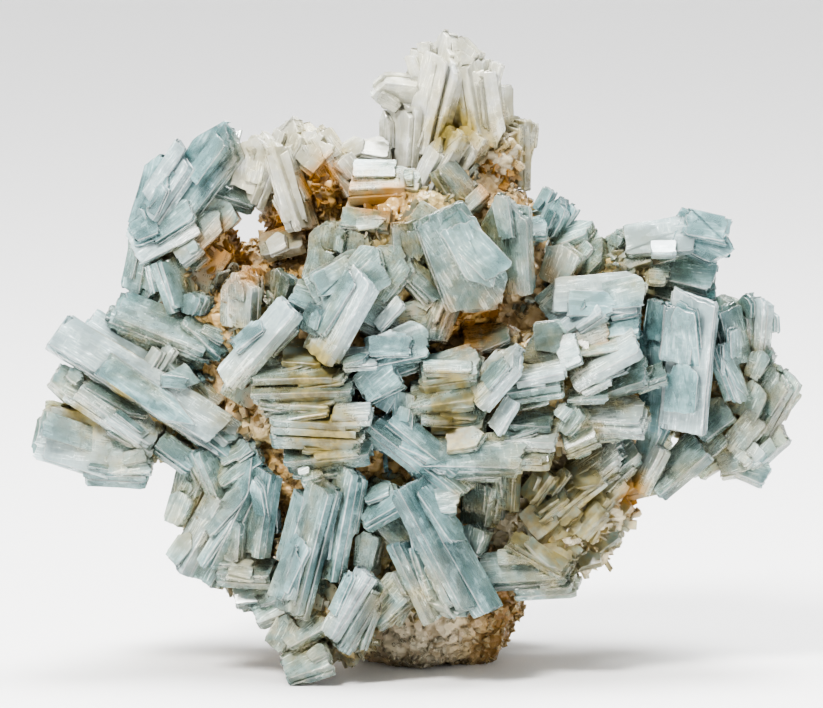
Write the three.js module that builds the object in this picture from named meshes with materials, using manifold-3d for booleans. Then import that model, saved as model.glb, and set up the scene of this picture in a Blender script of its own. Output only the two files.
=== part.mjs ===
// A specimen of pale blue tabular barite on iron-stained matrix, in millimetres, +Z up.
// +X runs along the longest extent and the showy front faces -Y.
// The origin is the centre of the small flat spot that the matrix foot rests on, at z = 0.
import * as THREE from "three";
import { mergeVertices } from "three/addons/utils/BufferGeometryUtils.js";
import Module from "manifold-3d";

const wasm = await Module();
wasm.setup();

const GAP = 0.3;
const LOOK_DOWN = THREE.MathUtils.degToRad(7);
const SEEN_FLOOR = 1.46;
const REST_X = 1.5;
const REST_Y = 9.0;
const EDGE_BEVEL = 0.34;
const LARGE_BOOK = 12.5;

// Outlines of a crystal in its own plane, from -0.5 to 0.5 along its length and its width.
const OUTLINES = {
  lath: [[-0.5, -0.46], [0.45, -0.5], [0.5, 0.42], [-0.46, 0.5]],
  rhomb: [[-0.5, -0.08], [0.06, -0.5], [0.5, 0.1], [-0.04, 0.5]],
  slab: [[-0.5, -0.3], [0.36, -0.5], [0.5, 0.16], [0.3, 0.5], [-0.46, 0.48]],
  point: [[-0.5, -0.5], [0.22, -0.5], [0.5, 0.06], [0.18, 0.5], [-0.48, 0.46]],
};

// Crystal books of each group, one row each, as they are seen from the front:
// across, up, depth (front is negative), length, width, thickness,
// direction of the length, roll about it, dip of its far end towards the front, outline.
const BOOKS = {
  centre_plates: [
    [-4.5, 37.8, -10.5, 6, 5.4, 2.6, 40, 20, 0, "slab"],
    [-4.5, 62.4, -2, 8, 6, 2.3, 4, 62, 0, "lath"],
    [-5.7, 57.7, -3, 7.5, 6, 1.9, -6, 58, 0, "lath"],
    [-9.5, 53.5, -6, 9, 9, 2, 85, 15, 0, "slab"],
    [-8, 50.5, -8, 11, 7, 2.2, 30, 15, 0, "point"],
    [-9, 46, -10.5, 12.5, 6.3, 2.2, 62, 55, 0, "lath"],
    [-13, 47.5, -7, 6, 5, 2.4, -20, 40, 0, "slab"],
    [5.5, 52.6, -8.5, 14.5, 9, 2.4, -62, 14, 0, "slab"],
    [1.5, 56.5, -6.5, 8, 6, 2.2, -30, 20, 0, "slab"],
    [11.5, 55.2, -5.5, 13.5, 6, 2.4, 95, 20, 0, "point"],
    [5, 62, -1, 7, 5.4, 1.9, -50, 47, 0, "slab"],
    [3.8, 47, -8, 8.5, 3.5, 1.9, 70, 49, 0, "lath"],
    [2, 48, -7, 6, 4, 2, 60, 25, 0, "slab"],
    [-2, 42, -10, 8.5, 5.5, 2.4, 20, 25, 0, "slab"],
  ],
  left_centre_stack: [
    [-22, 48, -4.5, 7.5, 6.1, 1.9, 88, 47, 0, "point"],
    [-17.3, 48.5, -4, 7, 6, 1.9, 80, 48, 0, "slab"],
    [-19.5, 42.5, -9.5, 13.5, 4.3, 2.2, 50, 48, 0, "lath"],
    [-14.5, 39.3, -8.5, 12.5, 9, 1.7, 6, 68, 0, "slab"],
    [-13.5, 37.6, -9, 14.5, 10, 1.9, 5, 68, 0, "slab"],
    [-12, 34, -10, 12.5, 10, 2, 2, 66, 0, "slab"],
    [-11.5, 31.6, -9.5, 13.5, 9, 2, 3, 68, 0, "slab"],
    [-10.5, 29.4, -9, 12.5, 8, 2.3, 12, 60, 0, "slab"],
    [-12, 27.8, -8, 7, 6, 2.4, 0, 50, 0, "slab"],
    [-5.5, 31.5, -8, 8, 7, 2.4, 5, 60, 0, "slab"],
  ],
  right_centre_stack: [
    [9.5, 42.6, -6.5, 7.5, 6, 1.9, 5, 60, 0, "slab"],
    [4.5, 39.2, -10, 9.5, 6, 2.5, 14, 50, 0, "slab"],
    [3.8, 36.2, -10, 9.5, 6, 2.4, 14, 50, 0, "slab"],
    [10.3, 38.8, -11.5, 9.5, 4.6, 2.2, 48, 48, 0, "point"],
    [16.5, 41.8, -7.5, 8.5, 6.5, 2.2, 10, 20, 0, "rhomb"],
    [15.6, 39.3, -9.5, 7, 5, 1.1, 12, 62, 0, "lath"],
    [14.5, 37.5, -9, 8, 5, 2, 8, 55, 0, "lath"],
    [23.3, 40.5, -7.5, 10, 7, 1.3, 30, 66, 0, "lath"],
    [25, 38, -6.5, 9, 6.2, 1.9, 25, 49, 0, "slab"],
    [24, 33.5, -6.5, 11.5, 6, 2.8, 3, 45, 0, "slab"],
    [14.3, 31, -9.5, 7.5, 6, 1.7, 4, 62, 0, "slab"],
    [12.5, 29, -9, 10.5, 7, 2, 5, 60, 0, "slab"],
    [7.5, 28.6, -10.5, 14.5, 6, 3.2, 5, 35, 0, "slab"],
  ],
  lower_centre_blades: [
    [-3, 10.5, -10.5, 8, 5.5, 2.8, 50, 25, 0, "slab"],
    [-13.5, 17, -12, 18.5, 5.1, 2.2, 76, 46, 0, "lath"],
    [-14.8, 19.5, -10, 9.5, 3.4, 2.2, 76, 56, 0, "lath"],
    [-9.6, 20, -11, 15.5, 3.8, 2.2, 80, 50, 0, "lath"],
    [-8.5, 10.2, -13.5, 10.5, 3.2, 1.8, 60, 50, 0, "lath"],
    [-7.2, 8.8, -12.5, 10.5, 3.5, 2.2, 60, 55, 0, "lath"],
    [-13.3, 2.6, -12, 7, 5.7, 1.9, 28, 49, 0, "slab"],
    [-16, 6.3, -9.5, 5, 4, 3, 60, 30, 0, "slab"],
    [-13.8, 7.3, -10.5, 6.5, 6.1, 1.9, 40, 48, 0, "slab"],
    [-12, 10.5, -9, 7, 5.5, 3, 70, 20, 0, "slab"],
    [0.5, 28, -10, 15, 4.4, 2.2, -38, 56, 0, "lath"],
    [-4.5, 22.5, -10.5, 6.5, 6.4, 1.9, 40, 49, 0, "slab"],
    [3, 17, -13, 18.5, 6.2, 2.2, -62, 52, 0, "lath"],
    [6, 14.5, -11.5, 14, 4.7, 2.2, -60, 54, 0, "lath"],
    [0.3, 13, -12.3, 11.5, 3.5, 2.2, -65, 54, 0, "lath"],
  ],
  lower_left_blades: [
    [-20, 11.4, -5, 6, 5, 3.4, 20, 30, 0, "slab"],
    [-25.3, 26.5, -4, 7.5, 4.6, 1.9, -65, 47, 0, "lath"],
    [-27, 18.8, -5.5, 11, 4.5, 2.2, 62, 56, 0, "lath"],
    [-22.8, 21.5, -6.5, 16, 4, 2.2, 65, 50, 0, "point"],
    [-19.3, 21.5, -7.5, 11.5, 4.4, 2.2, 82, 52, 0, "lath"],
    [-21, 14.2, -6.5, 8.5, 5, 2.4, 4, 50, 0, "slab"],
    [-17.7, 9.5, -6.5, 6, 5, 2.4, 30, 40, 0, "slab"],
    [-28.3, 24, -2.5, 8, 6, 1.9, 75, 52, 0, "slab"],
    [-22, 27.5, -4.5, 7, 6.5, 1.9, 40, 52, 0, "slab"],
  ],
  lower_right_blades: [
    [14, 14.3, -7, 13.5, 5.5, 3, 8, 25, 0, "slab"],
    [15.3, 16.2, -8.5, 8.5, 3, 1.6, -30, 48, 0, "lath"],
    [16.5, 12.6, -6, 9, 5.5, 1.9, 10, 56, 0, "slab"],
    [8.5, 23, -5, 7, 5.7, 2.6, 88, 40, 0, "slab"],
    [11.5, 24.5, -6, 6, 3.2, 1.8, 88, 42, 0, "lath"],
    [22, 26.5, -4.5, 9.5, 4.4, 1.7, 40, 52, 0, "lath"],
    [20, 24, -5.5, 8.5, 4.4, 1.6, 42, 52, 0, "lath"],
    [25, 28, -2.5, 7, 5.8, 1.9, 40, 52, 0, "lath"],
    [28.8, 27.3, -2.5, 7, 4.8, 1.9, 65, 54, 0, "lath"],
    [23.6, 24.4, -1.5, 9, 6.5, 3.2, 50, 20, 0, "slab"],
    [28.3, 25.6, -0.5, 7, 6.7, 1.9, 20, 57, 0, "slab"],
  ],
  left_arm_blades: [
    [-34, 37.5, -4, 27, 5.5, 2.4, -32, 20, 0, "lath"],
    [-33, 40, -1.5, 20, 4.4, 2, -33, 56, 0, "lath"],
    [-38.5, 42, 0, 9, 6.1, 1.9, -33, 56, 0, "slab"],
    [-37.5, 33.8, -3.5, 14, 5, 2.2, -33, 50, 0, "lath"],
    [-36.5, 32.2, -5, 6.5, 2.6, 1.8, -33, 50, 0, "lath"],
    [-43.8, 37.3, -2.5, 4.4, 4, 3, -30, 30, 0, "slab"],
    [-42, 30, -2, 12, 9, 2.8, -8, 10, 0, "slab"],
    [-45.2, 31, -1, 6, 5.5, 2.4, 80, 15, 0, "slab"],
    [-37, 27, -1.5, 10, 6.5, 2.2, 3, 55, 0, "slab"],
    [-36, 28, -3.5, 7, 5.5, 2, 10, 25, 0, "slab"],
    [-30, 28.8, -4, 6, 3.2, 1.8, -35, 32, 0, "lath"],
    [-26, 31.8, -2.5, 10, 5.4, 2.2, -38, 47, 0, "lath"],
  ],
  left_shoulder_blades: [
    [-31.8, 45, -1.5, 14, 6, 2.2, -20, 46, 0, "lath"],
    [-31.3, 42.9, -0.5, 13.5, 4.9, 2.2, -18, 55, 0, "lath"],
    [-26, 43.5, -1.5, 8, 5.5, 1.9, -35, 50, 0, "slab"],
    [-36, 44.5, 0, 7, 4.8, 1.9, -15, 48, 0, "slab"],
  ],
  upper_left_blades: [
    [-27.3, 62.6, 1, 18, 7, 3, 58, 20, 0, "slab"],
    [-32.4, 61, 1, 11, 4.8, 2.6, 74, 20, 0, "slab"],
    [-30.7, 62, 0, 9, 3.7, 1.9, 57, 50, 0, "lath"],
    [-31, 56.5, 0.5, 10, 6, 2.8, 35, 25, 0, "slab"],
    [-34.6, 53, 3, 8.5, 4.2, 1.9, 80, 51, 0, "lath"],
    [-33, 51, 2, 7, 5.5, 1.9, 70, 56, 0, "slab"],
    [-30, 50, 0, 8, 6.2, 1.9, -65, 52, 0, "slab"],
    [-22.6, 61.3, 2, 7, 5.2, 1.9, -10, 50, 0, "slab"],
    [-27, 52, 2, 9, 7, 3.2, 70, 12, 0, "slab"],
  ],
  top_left_peak: [
    [-19.8, 64.5, 2, 9.5, 7.7, 2.2, 75, 57, 0, "slab"],
    [-15.7, 62, 0, 11.5, 4.9, 2.2, -72, 56, 0, "lath"],
    [-15.9, 67.3, 3, 7.5, 5.3, 1.9, 68, 49, 0, "point"],
    [-13.6, 67.5, 4, 6.5, 5.2, 1.9, 98, 54, 0, "point"],
    [-10.5, 66, 2.5, 8.5, 4.7, 1.9, -55, 50, 0, "lath"],
    [-16.5, 55, 1, 6.5, 4.8, 1.9, 20, 52, 0, "slab"],
    [-6, 66, 3, 6.5, 4.6, 1.9, 15, 48, 0, "slab"],
    [-9, 63.3, 2, 6, 3.8, 2.6, -50, 30, 0, "slab"],
  ],
  crown_blades: [
    [-2.8, 74.3, 5, 6, 4, 3.2, 172, 25, 0, "point"],
    [-1.8, 68.8, 4, 9, 5.9, 1.9, 88, 53, 0, "lath"],
    [0.6, 72.5, 5, 14, 5.7, 2.2, 80, 48, 0, "lath"],
    [2.6, 74, 6, 16, 8, 2.2, 76, 55, 0, "point"],
    [5.5, 78.4, 7, 6, 5, 3.2, 60, 20, 0, "slab"],
    [8, 72.5, 6, 12.5, 6.8, 2.2, -80, 56, 0, "lath"],
    [6.5, 67, 4, 6, 5, 2.6, 70, 30, 0, "slab"],
    [3.2, 65.3, 2, 10, 5, 2.2, 60, 55, 0, "lath"],
    [12.5, 66.5, 9, 9.5, 4, 2.2, 90, 47, 0, "lath"],
  ],
  right_arm_blades: [
    [25.3, 55, 3, 4.5, 3, 2.6, 75, 22, 0, "point"],
    [30.8, 55.3, 1, 10, 5, 3.2, 10, 32, 0, "slab"],
    [35.8, 55.4, 1.5, 8.5, 5.6, 3, -24, 28, 0, "point"],
    [33.2, 51.4, 2, 10, 6.5, 2.2, -7, 45, 0, "slab"],
    [29.3, 50.2, 2.5, 9, 6.5, 1.9, -10, 50, 0, "slab"],
    [23, 48.3, -3, 13, 6, 2.6, 5, 22, 0, "slab"],
    [24.5, 44.3, -3.5, 8.5, 5.5, 2.4, 15, 50, 0, "slab"],
    [19.7, 56, 2, 6.5, 3.6, 1.9, 22, 55, 0, "point"],
    [21.5, 52.8, 1, 7.5, 4.8, 1.9, 45, 47, 0, "point"],
    [24.8, 51.9, 2, 7, 6.7, 1.9, 20, 56, 0, "slab"],
    [17.5, 58.5, 2, 5.5, 3.2, 2.4, 62, 30, 0, "point"],
  ],
  right_edge_blades: [
    [34, 40, -4, 18.5, 6.5, 2.8, 86, 20, 0, "lath"],
    [39.5, 43.5, -1.5, 8.5, 4.5, 1.9, -75, 46, 0, "lath"],
    [43, 45.2, 0.5, 8.5, 4.9, 1.9, 90, 54, 0, "slab"],
    [39, 39, -3, 8.5, 3.5, 1.8, -68, 51, 0, "lath"],
    [42, 40, 1, 8, 6, 3, 60, 18, 0, "slab"],
    [37.3, 33, -2, 6, 4.6, 2.4, 50, 22, 0, "slab"],
    [42.3, 33.7, 0.5, 14.5, 7.4, 3, 58, 20, 0, "slab"],
    [45, 35, -0.5, 9, 3.9, 1.9, 62, 48, 0, "lath"],
    [42.4, 28.5, -1.5, 3.5, 3.4, 2.8, 55, 30, 0, "slab"],
    [39.8, 27.4, 0, 4.2, 4.2, 4, 20, 20, 0, "slab"],
    [33, 27.2, -2.5, 8.5, 5.2, 1.9, 42, 51, 0, "lath"],
  ],
  back_upper_blades: [
    [-4, 62, 21, 14, 7, 3, 110, -18, -6, "lath"],
    [4, 58, 23, 12, 9, 3.2, 40, -16, 0, "slab"],
    [-10, 54, 22.5, 13, 8, 3, 150, -20, 0, "slab"],
    [9, 66, 18, 12, 6, 3, 80, -20, 0, "point"],
    [10, 53, 22, 9, 5, 2.8, 120, -34, 0, "lath"],
  ],
  back_left_blades: [
    [-27, 45, 19, 16, 7, 3, 145, -18, 0, "lath"],
    [-22, 36, 22, 12, 9, 3, 30, -16, 0, "slab"],
    [-30, 33, 18, 13, 7, 3, 170, -20, 0, "slab"],
    [-17, 44, 23, 9, 5, 2.6, 70, -50, 0, "lath"],
    [-19, 27, 20.5, 11, 7, 3, 110, -24, 0, "slab"],
  ],
  back_right_blades: [
    [29, 46, 19.5, 14, 7, 3, 20, -20, 0, "lath"],
    [24, 38, 22.5, 12, 9, 3, 65, -16, 0, "slab"],
    [34, 37, 18, 13, 7, 3, 100, -22, 0, "lath"],
    [18, 45, 23, 9, 5, 2.8, 140, -48, 0, "lath"],
    [28, 29.5, 20, 11, 7, 3, 35, -24, 0, "slab"],
  ],
  back_lower_blades: [
    [-6, 18, 23, 14, 8, 3, 65, -20, 0, "slab"],
    [5, 21, 24, 13, 7, 3, 120, -18, 0, "lath"],
    [-13, 14, 20, 11, 6, 3, 100, -26, 0, "lath"],
    [12, 16, 22, 10, 7, 3, 45, -26, 0, "slab"],
  ],
};

// The crust each group grows on: across, up, depth, half sizes across, up and in depth, fineness.
const CRUSTS = {
  centre_plates: [[-1, 51.5, -3, 13, 11.5, 5.6, 0]],
  left_centre_stack: [[-14, 36, -3.5, 10, 9, 5.6, 0], [-19, 45, -1.5, 5.6, 7, 5, 0]],
  right_centre_stack: [[13, 36, -3.5, 15, 9.5, 5.6, 0]],
  lower_centre_blades: [[-4, 17, -5, 11, 11.5, 5, 1], [-10.5, 8.5, -7, 6.6, 7, 5, 0]],
  lower_left_blades: [[-23, 19.5, -1.5, 6.5, 9.5, 5, 1]],
  lower_right_blades: [[18, 20.5, -1.5, 11, 8, 5.4, 1]],
  left_arm_blades: [[-34, 33.8, 1, 11, 7.2, 5, 0]],
  left_shoulder_blades: [[-29, 44, 3, 9, 4.6, 5, 0]],
  upper_left_blades: [[-27.5, 53, 4, 6.5, 8, 4.6, 1]],
  top_left_peak: [[-13, 61.5, 5, 6.8, 7.2, 5, 0]],
  crown_blades: [[6, 65.5, 8, 8.6, 7, 5.4, 0]],
  right_arm_blades: [[23.5, 50.5, 4, 10, 5.6, 5.4, 0]],
  right_edge_blades: [[38.5, 36, 3, 6.8, 10.5, 5, 0]],
  back_upper_blades: [[0, 56, 19, 12, 10, 5, 0]],
  back_left_blades: [[-23, 38, 17, 10, 11, 5.2, 0]],
  back_right_blades: [[25, 38, 17.5, 10, 10, 5.2, 0]],
  back_lower_blades: [[-1, 19, 19, 12, 9, 5.2, 0]],
};

// Lumps of the matrix: world x, y, z of the middle, half sizes along x, y and z, and fineness.
const MATRIX_LUMPS = [
  [-2, 8.5, 34, 33.5, 14.5, 25.5, 2],
  [1, 8.5, 55, 14, 11, 10, 1],
  [2, 9, 6, 13, 11.5, 10.5, 1],
];

function seededSpread(seed) {
  let state = (seed * 2654435761 + 12345) >>> 0;
  return () => {
    state = (Math.imul(state, 1664525) + 1013904223) >>> 0;
    return state / 4294967296 - 0.5;
  };
}

// World height of a point that is seen at a height from the front, looking slightly down.
function worldHeight(seen, depth) {
  return (seen - SEEN_FLOOR - depth * Math.sin(LOOK_DOWN)) / Math.cos(LOOK_DOWN);
}

function solidFrom(geometry) {
  const bare = geometry.index ? geometry.toNonIndexed() : geometry;
  bare.deleteAttribute("normal");
  bare.deleteAttribute("uv");
  const joined = mergeVertices(bare, 1e-4);
  return new wasm.Manifold(
    new wasm.Mesh({
      numProp: 3,
      vertProperties: new Float32Array(joined.attributes.position.array),
      triVerts: new Uint32Array(joined.index.array),
    }),
  );
}

// The frame of a book: its length, its width and the way its face looks.
function bookMatrix(row) {
  const [across, up, depth, , , , direction, roll, dip] = row;
  const turn = THREE.MathUtils.degToRad(direction);
  const tilt = THREE.MathUtils.degToRad(roll);
  const lean = THREE.MathUtils.degToRad(dip);
  const length = new THREE.Vector3(Math.cos(turn), 0, Math.sin(turn));
  const side = new THREE.Vector3(-Math.sin(turn), 0, Math.cos(turn));
  const width = side.multiplyScalar(Math.cos(tilt)).add(new THREE.Vector3(0, Math.sin(tilt), 0));
  const face = new THREE.Vector3().crossVectors(length, width);
  const leaned = new THREE.Quaternion().setFromAxisAngle(width, -lean);
  length.applyQuaternion(leaned);
  face.applyQuaternion(leaned);
  const matrix = new THREE.Matrix4().makeBasis(length, width, face);
  matrix.setPosition(across - REST_X, depth - REST_Y, worldHeight(up, depth));
  return matrix;
}

// One tabular crystal book, larger all round by grow.
function bookSolid(row, seed, grow) {
  const [, , , length, width, thickness] = row;
  const spread = seededSpread(seed);
  const corners = OUTLINES[row[9]].map(
    ([u, v]) =>
      new THREE.Vector2(
        (u + 0.05 * spread()) * length + Math.sign(u) * grow * 1.2,
        (v + 0.07 * spread()) * width + Math.sign(v) * grow,
      ),
  );
  const bevelled = length >= LARGE_BOOK && width >= 8;
  const bevel = bevelled ? EDGE_BEVEL : 0;
  const depth = thickness + 2 * grow;
  const slab = new THREE.ExtrudeGeometry(new THREE.Shape(corners), {
    depth: depth - 2 * bevel,
    bevelEnabled: bevelled,
    bevelThickness: bevel,
    bevelSize: bevel,
    bevelOffset: -bevel,
    bevelSegments: 1,
    curveSegments: 1,
    steps: 1,
  });
  slab.translate(0, 0, bevel - depth / 2);
  slab.applyMatrix4(bookMatrix(row));
  return solidFrom(slab);
}

// A rough lump: a ball with low waves and dents, larger all round by grow.
function lumpSolid(x, y, z, sizes, detail, seed, grow) {
  const ball = new THREE.IcosahedronGeometry(1, detail);
  const points = ball.attributes.position;
  const way = new THREE.Vector3();
  for (let i = 0; i < points.count; i += 1) {
    way.fromBufferAttribute(points, i).normalize();
    const wave =
      1 +
      0.09 * Math.sin(3.1 * way.x + 1.7 * seed) * Math.cos(2.7 * way.z + seed) +
      0.06 * Math.sin(6.3 * way.y + 5.1 * way.x + 2.3 * seed) +
      0.05 * Math.cos(7.7 * way.z - 4.3 * way.x + 0.9 * seed);
    points.setXYZ(
      i,
      way.x * (sizes[0] * wave + grow),
      way.y * (sizes[1] * wave + grow),
      way.z * (sizes[2] * wave + grow),
    );
  }
  ball.translate(x - REST_X, y - REST_Y, z);
  return solidFrom(ball);
}

function joinAll(solids) {
  return solids.reduce((whole, next) => whole.add(next));
}

// The largest connected body of a solid, so that no loose splinter is left by a cut.
function largestBody(solid) {
  const mesh = solid.getMesh();
  const owner = Array.from({ length: mesh.numVert }, (_, i) => i);
  const find = (i) => {
    while (owner[i] !== i) {
      owner[i] = owner[owner[i]];
      i = owner[i];
    }
    return i;
  };
  const triangles = mesh.triVerts;
  for (let i = 0; i < triangles.length; i += 3) {
    owner[find(triangles[i])] = find(triangles[i + 1]);
    owner[find(triangles[i + 1])] = find(triangles[i + 2]);
  }
  const volumes = new Map();
  const point = (i) => new THREE.Vector3().fromArray(mesh.vertProperties, i * mesh.numProp);
  for (let i = 0; i < triangles.length; i += 3) {
    const [a, b, c] = [0, 1, 2].map((k) => point(triangles[i + k]));
    const key = find(triangles[i]);
    volumes.set(key, (volumes.get(key) ?? 0) + a.dot(b.cross(c)) / 6);
  }
  const kept = [...volumes].sort((a, b) => b[1] - a[1])[0][0];
  const corners = [];
  for (let i = 0; i < triangles.length; i += 3) {
    if (find(triangles[i]) === kept) {
      for (let k = 0; k < 3; k += 1) {
        corners.push(...point(triangles[i + k]).toArray());
      }
    }
  }
  const geometry = new THREE.BufferGeometry();
  geometry.setAttribute("position", new THREE.Float32BufferAttribute(corners, 3));
  return solidFrom(geometry);
}

function geometryOf(solid) {
  const mesh = solid.getMesh();
  const geometry = new THREE.BufferGeometry();
  geometry.setAttribute("position", new THREE.Float32BufferAttribute(mesh.vertProperties, 3));
  geometry.setIndex(new THREE.BufferAttribute(new Uint32Array(mesh.triVerts), 1));
  geometry.computeVertexNormals();
  return geometry;
}

function boundsOf(solid) {
  const mesh = solid.getMesh();
  return new THREE.Box3().setFromArray(mesh.vertProperties);
}

const below = solidFrom(new THREE.BoxGeometry(200, 200, 40).translate(0, 0, -20));

const matrixAt = (grow) =>
  joinAll(
    MATRIX_LUMPS.map(([x, y, z, a, b, c, detail], i) =>
      lumpSolid(x, y, z, [a, b, c], detail, i + 1, grow),
    ),
  );
const matrixSolid = largestBody(matrixAt(0).subtract(below));
const matrixRoom = matrixAt(GAP * 1.4);

const crystal = { color: 0xb8ccd1, roughness: 0.28, metalness: 0 };
const creamCrystal = { color: 0xd6d2b4, roughness: 0.34, metalness: 0 };
const matrixLook = { color: 0x9a5c2c, roughness: 0.85, metalness: 0 };
const CREAM_GROUPS = ["crown_blades", "top_left_peak"];

function addMesh(group, name, solid, look) {
  const mesh = new THREE.Mesh(geometryOf(solid), new THREE.MeshStandardMaterial(look));
  mesh.name = name;
  group.add(mesh);
}

const specimen = new THREE.Group();
addMesh(specimen, "matrix", matrixSolid, matrixLook);

const taken = [];
let seed = 1;
for (const [name, rows] of Object.entries(BOOKS)) {
  const crusts = CRUSTS[name].map(([x, up, depth, a, c, b, detail]) => ({
    make: (grow) => lumpSolid(x, depth, worldHeight(up, depth), [a, b, c], detail, x + up, grow),
  }));
  const books = rows.map((row) => {
    seed += 1;
    const own = seed;
    return { make: (grow) => bookSolid(row, own, grow) };
  });
  const pieces = [...crusts, ...books];
  let solid = joinAll(pieces.map((piece) => piece.make(0)));
  solid = solid.subtract(matrixRoom).subtract(below);
  const reach = boundsOf(solid);
  for (const other of taken) {
    if (other.bounds.intersectsBox(reach)) {
      solid = solid.subtract(other.room);
    }
  }
  addMesh(specimen, name, largestBody(solid), CREAM_GROUPS.includes(name) ? creamCrystal : crystal);
  for (const piece of pieces) {
    const room = piece.make(GAP);
    taken.push({ room, bounds: boundsOf(room) });
  }
}

export default specimen;
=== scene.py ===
import math
import bpy
import bmesh
import numpy as np
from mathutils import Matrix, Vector, noise


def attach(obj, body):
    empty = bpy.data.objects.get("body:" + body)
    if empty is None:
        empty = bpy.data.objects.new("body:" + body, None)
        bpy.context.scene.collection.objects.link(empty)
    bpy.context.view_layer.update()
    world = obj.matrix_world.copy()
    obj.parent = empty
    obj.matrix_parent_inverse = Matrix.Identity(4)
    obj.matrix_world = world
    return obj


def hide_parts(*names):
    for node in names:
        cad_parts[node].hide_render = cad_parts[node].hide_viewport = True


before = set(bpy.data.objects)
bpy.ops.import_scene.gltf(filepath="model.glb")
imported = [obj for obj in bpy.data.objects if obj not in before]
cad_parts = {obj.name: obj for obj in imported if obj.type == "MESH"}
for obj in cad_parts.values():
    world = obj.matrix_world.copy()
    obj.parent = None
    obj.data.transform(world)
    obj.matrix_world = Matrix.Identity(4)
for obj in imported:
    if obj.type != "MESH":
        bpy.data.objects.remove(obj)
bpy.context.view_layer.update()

MM = 0.001

# The view that the crystal rows are given in, and the rest spot that is the origin, in millimetres.
LOOK_DOWN = math.radians(7)
SEEN_FLOOR = 1.46
REST_X, REST_Y = 1.5, 9.0
FRAME_MID = (-0.56, 41.25, -4.0)
FRAME_WIDTH = 102.9
CAMERA_REACH = 1200.0
SENSOR = 36.0

# The furthest back that a blade may stand, just past the solids, in millimetres.
BACK_REACH = 18.5

# Plates of a book: their usual thickness, the gap between two, and how far one may fall short of
# the book's outline, as a share of it.
PLATE_THICKNESS = 1.05
MOST_PLATES = 3
PLATE_GAP = 0.024
PLATE_SHORTFALL = 0.12

# Smaller blades beside a book: their length, width and thickness as shares of the book's, the
# share of them on its front, and how far they sink into it. Longer books than LONG_BOOK have
# three of them, and small books thinner than THIN_BOOK have two plates.
SIBLING_LENGTHS = (0.35, 0.75)
SIBLING_WIDTHS = (0.4, 0.8)
SIBLING_THICKNESSES = (0.3, 0.55)
SIBLINGS_IN_FRONT = 0.42
SIBLING_SINK = 0.15
LONG_BOOK = 8
THIN_BOOK = 1.6

# Broken ends: width of a step, chance that its depth changes, chance that it stays shallow,
# how much deeper the others are, unevenness of a step, and the gap at its edges as a share.
STEP_WIDTHS = (0.7, 1.5)
STEP_CHANGES = 0.7
STEP_SHALLOW = 0.75
STEP_DEEPER = 2.2
STEP_SLOPE = 0.12
STEP_GAP = 0.015

# Long sides: distance between their points, and how far they waver.
SIDE_STEP = 2.4
SIDE_WAVER = 0.1
SIDE_END = 0.12

# Chips at the corners: the least, and the most as a share of the side.
LEAST_CHIP = 0.12
CHIP_SHARE = 0.3

# Crust: share of its full size that the lump takes, chunk size, depth, grains and small blades.
CRUST_SHARE = 0.83
CRUST_CHUNK = 1.8
CRUST_DEPTH = 1.0
CRUST_GRAINS = 500
CRUST_GRAIN_SIZES = (0.25, 0.8)
CRUST_BLADES = 330
CRUST_BLADE_LENGTHS = (0.9, 2.4)

# Matrix: the skin's voxel, chunk size, depth, grains, and places tried for a small blade.
MATRIX_VOXEL = 0.6
MATRIX_CHUNK = 3.2
MATRIX_DEPTH = 1.7
MATRIX_GRAINS = 8000
MATRIX_GRAIN_SIZES = (0.25, 0.9)
MATRIX_BLADE_TRIES = 2600
BARE_BELOW = 14

# Outlines of a crystal in its own plane, from -0.5 to 0.5 along its length and its width.
OUTLINES = {
    "lath": [(-0.5, -0.46), (0.45, -0.5), (0.5, 0.42), (-0.46, 0.5)],
    "rhomb": [(-0.5, -0.08), (0.06, -0.5), (0.5, 0.1), (-0.04, 0.5)],
    "slab": [(-0.5, -0.3), (0.36, -0.5), (0.5, 0.16), (0.3, 0.5), (-0.46, 0.48)],
    "point": [(-0.5, -0.5), (0.22, -0.5), (0.5, 0.06), (0.18, 0.5), (-0.48, 0.46)],
}
SMALL_KINDS = ("lath", "slab", "point")

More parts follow.
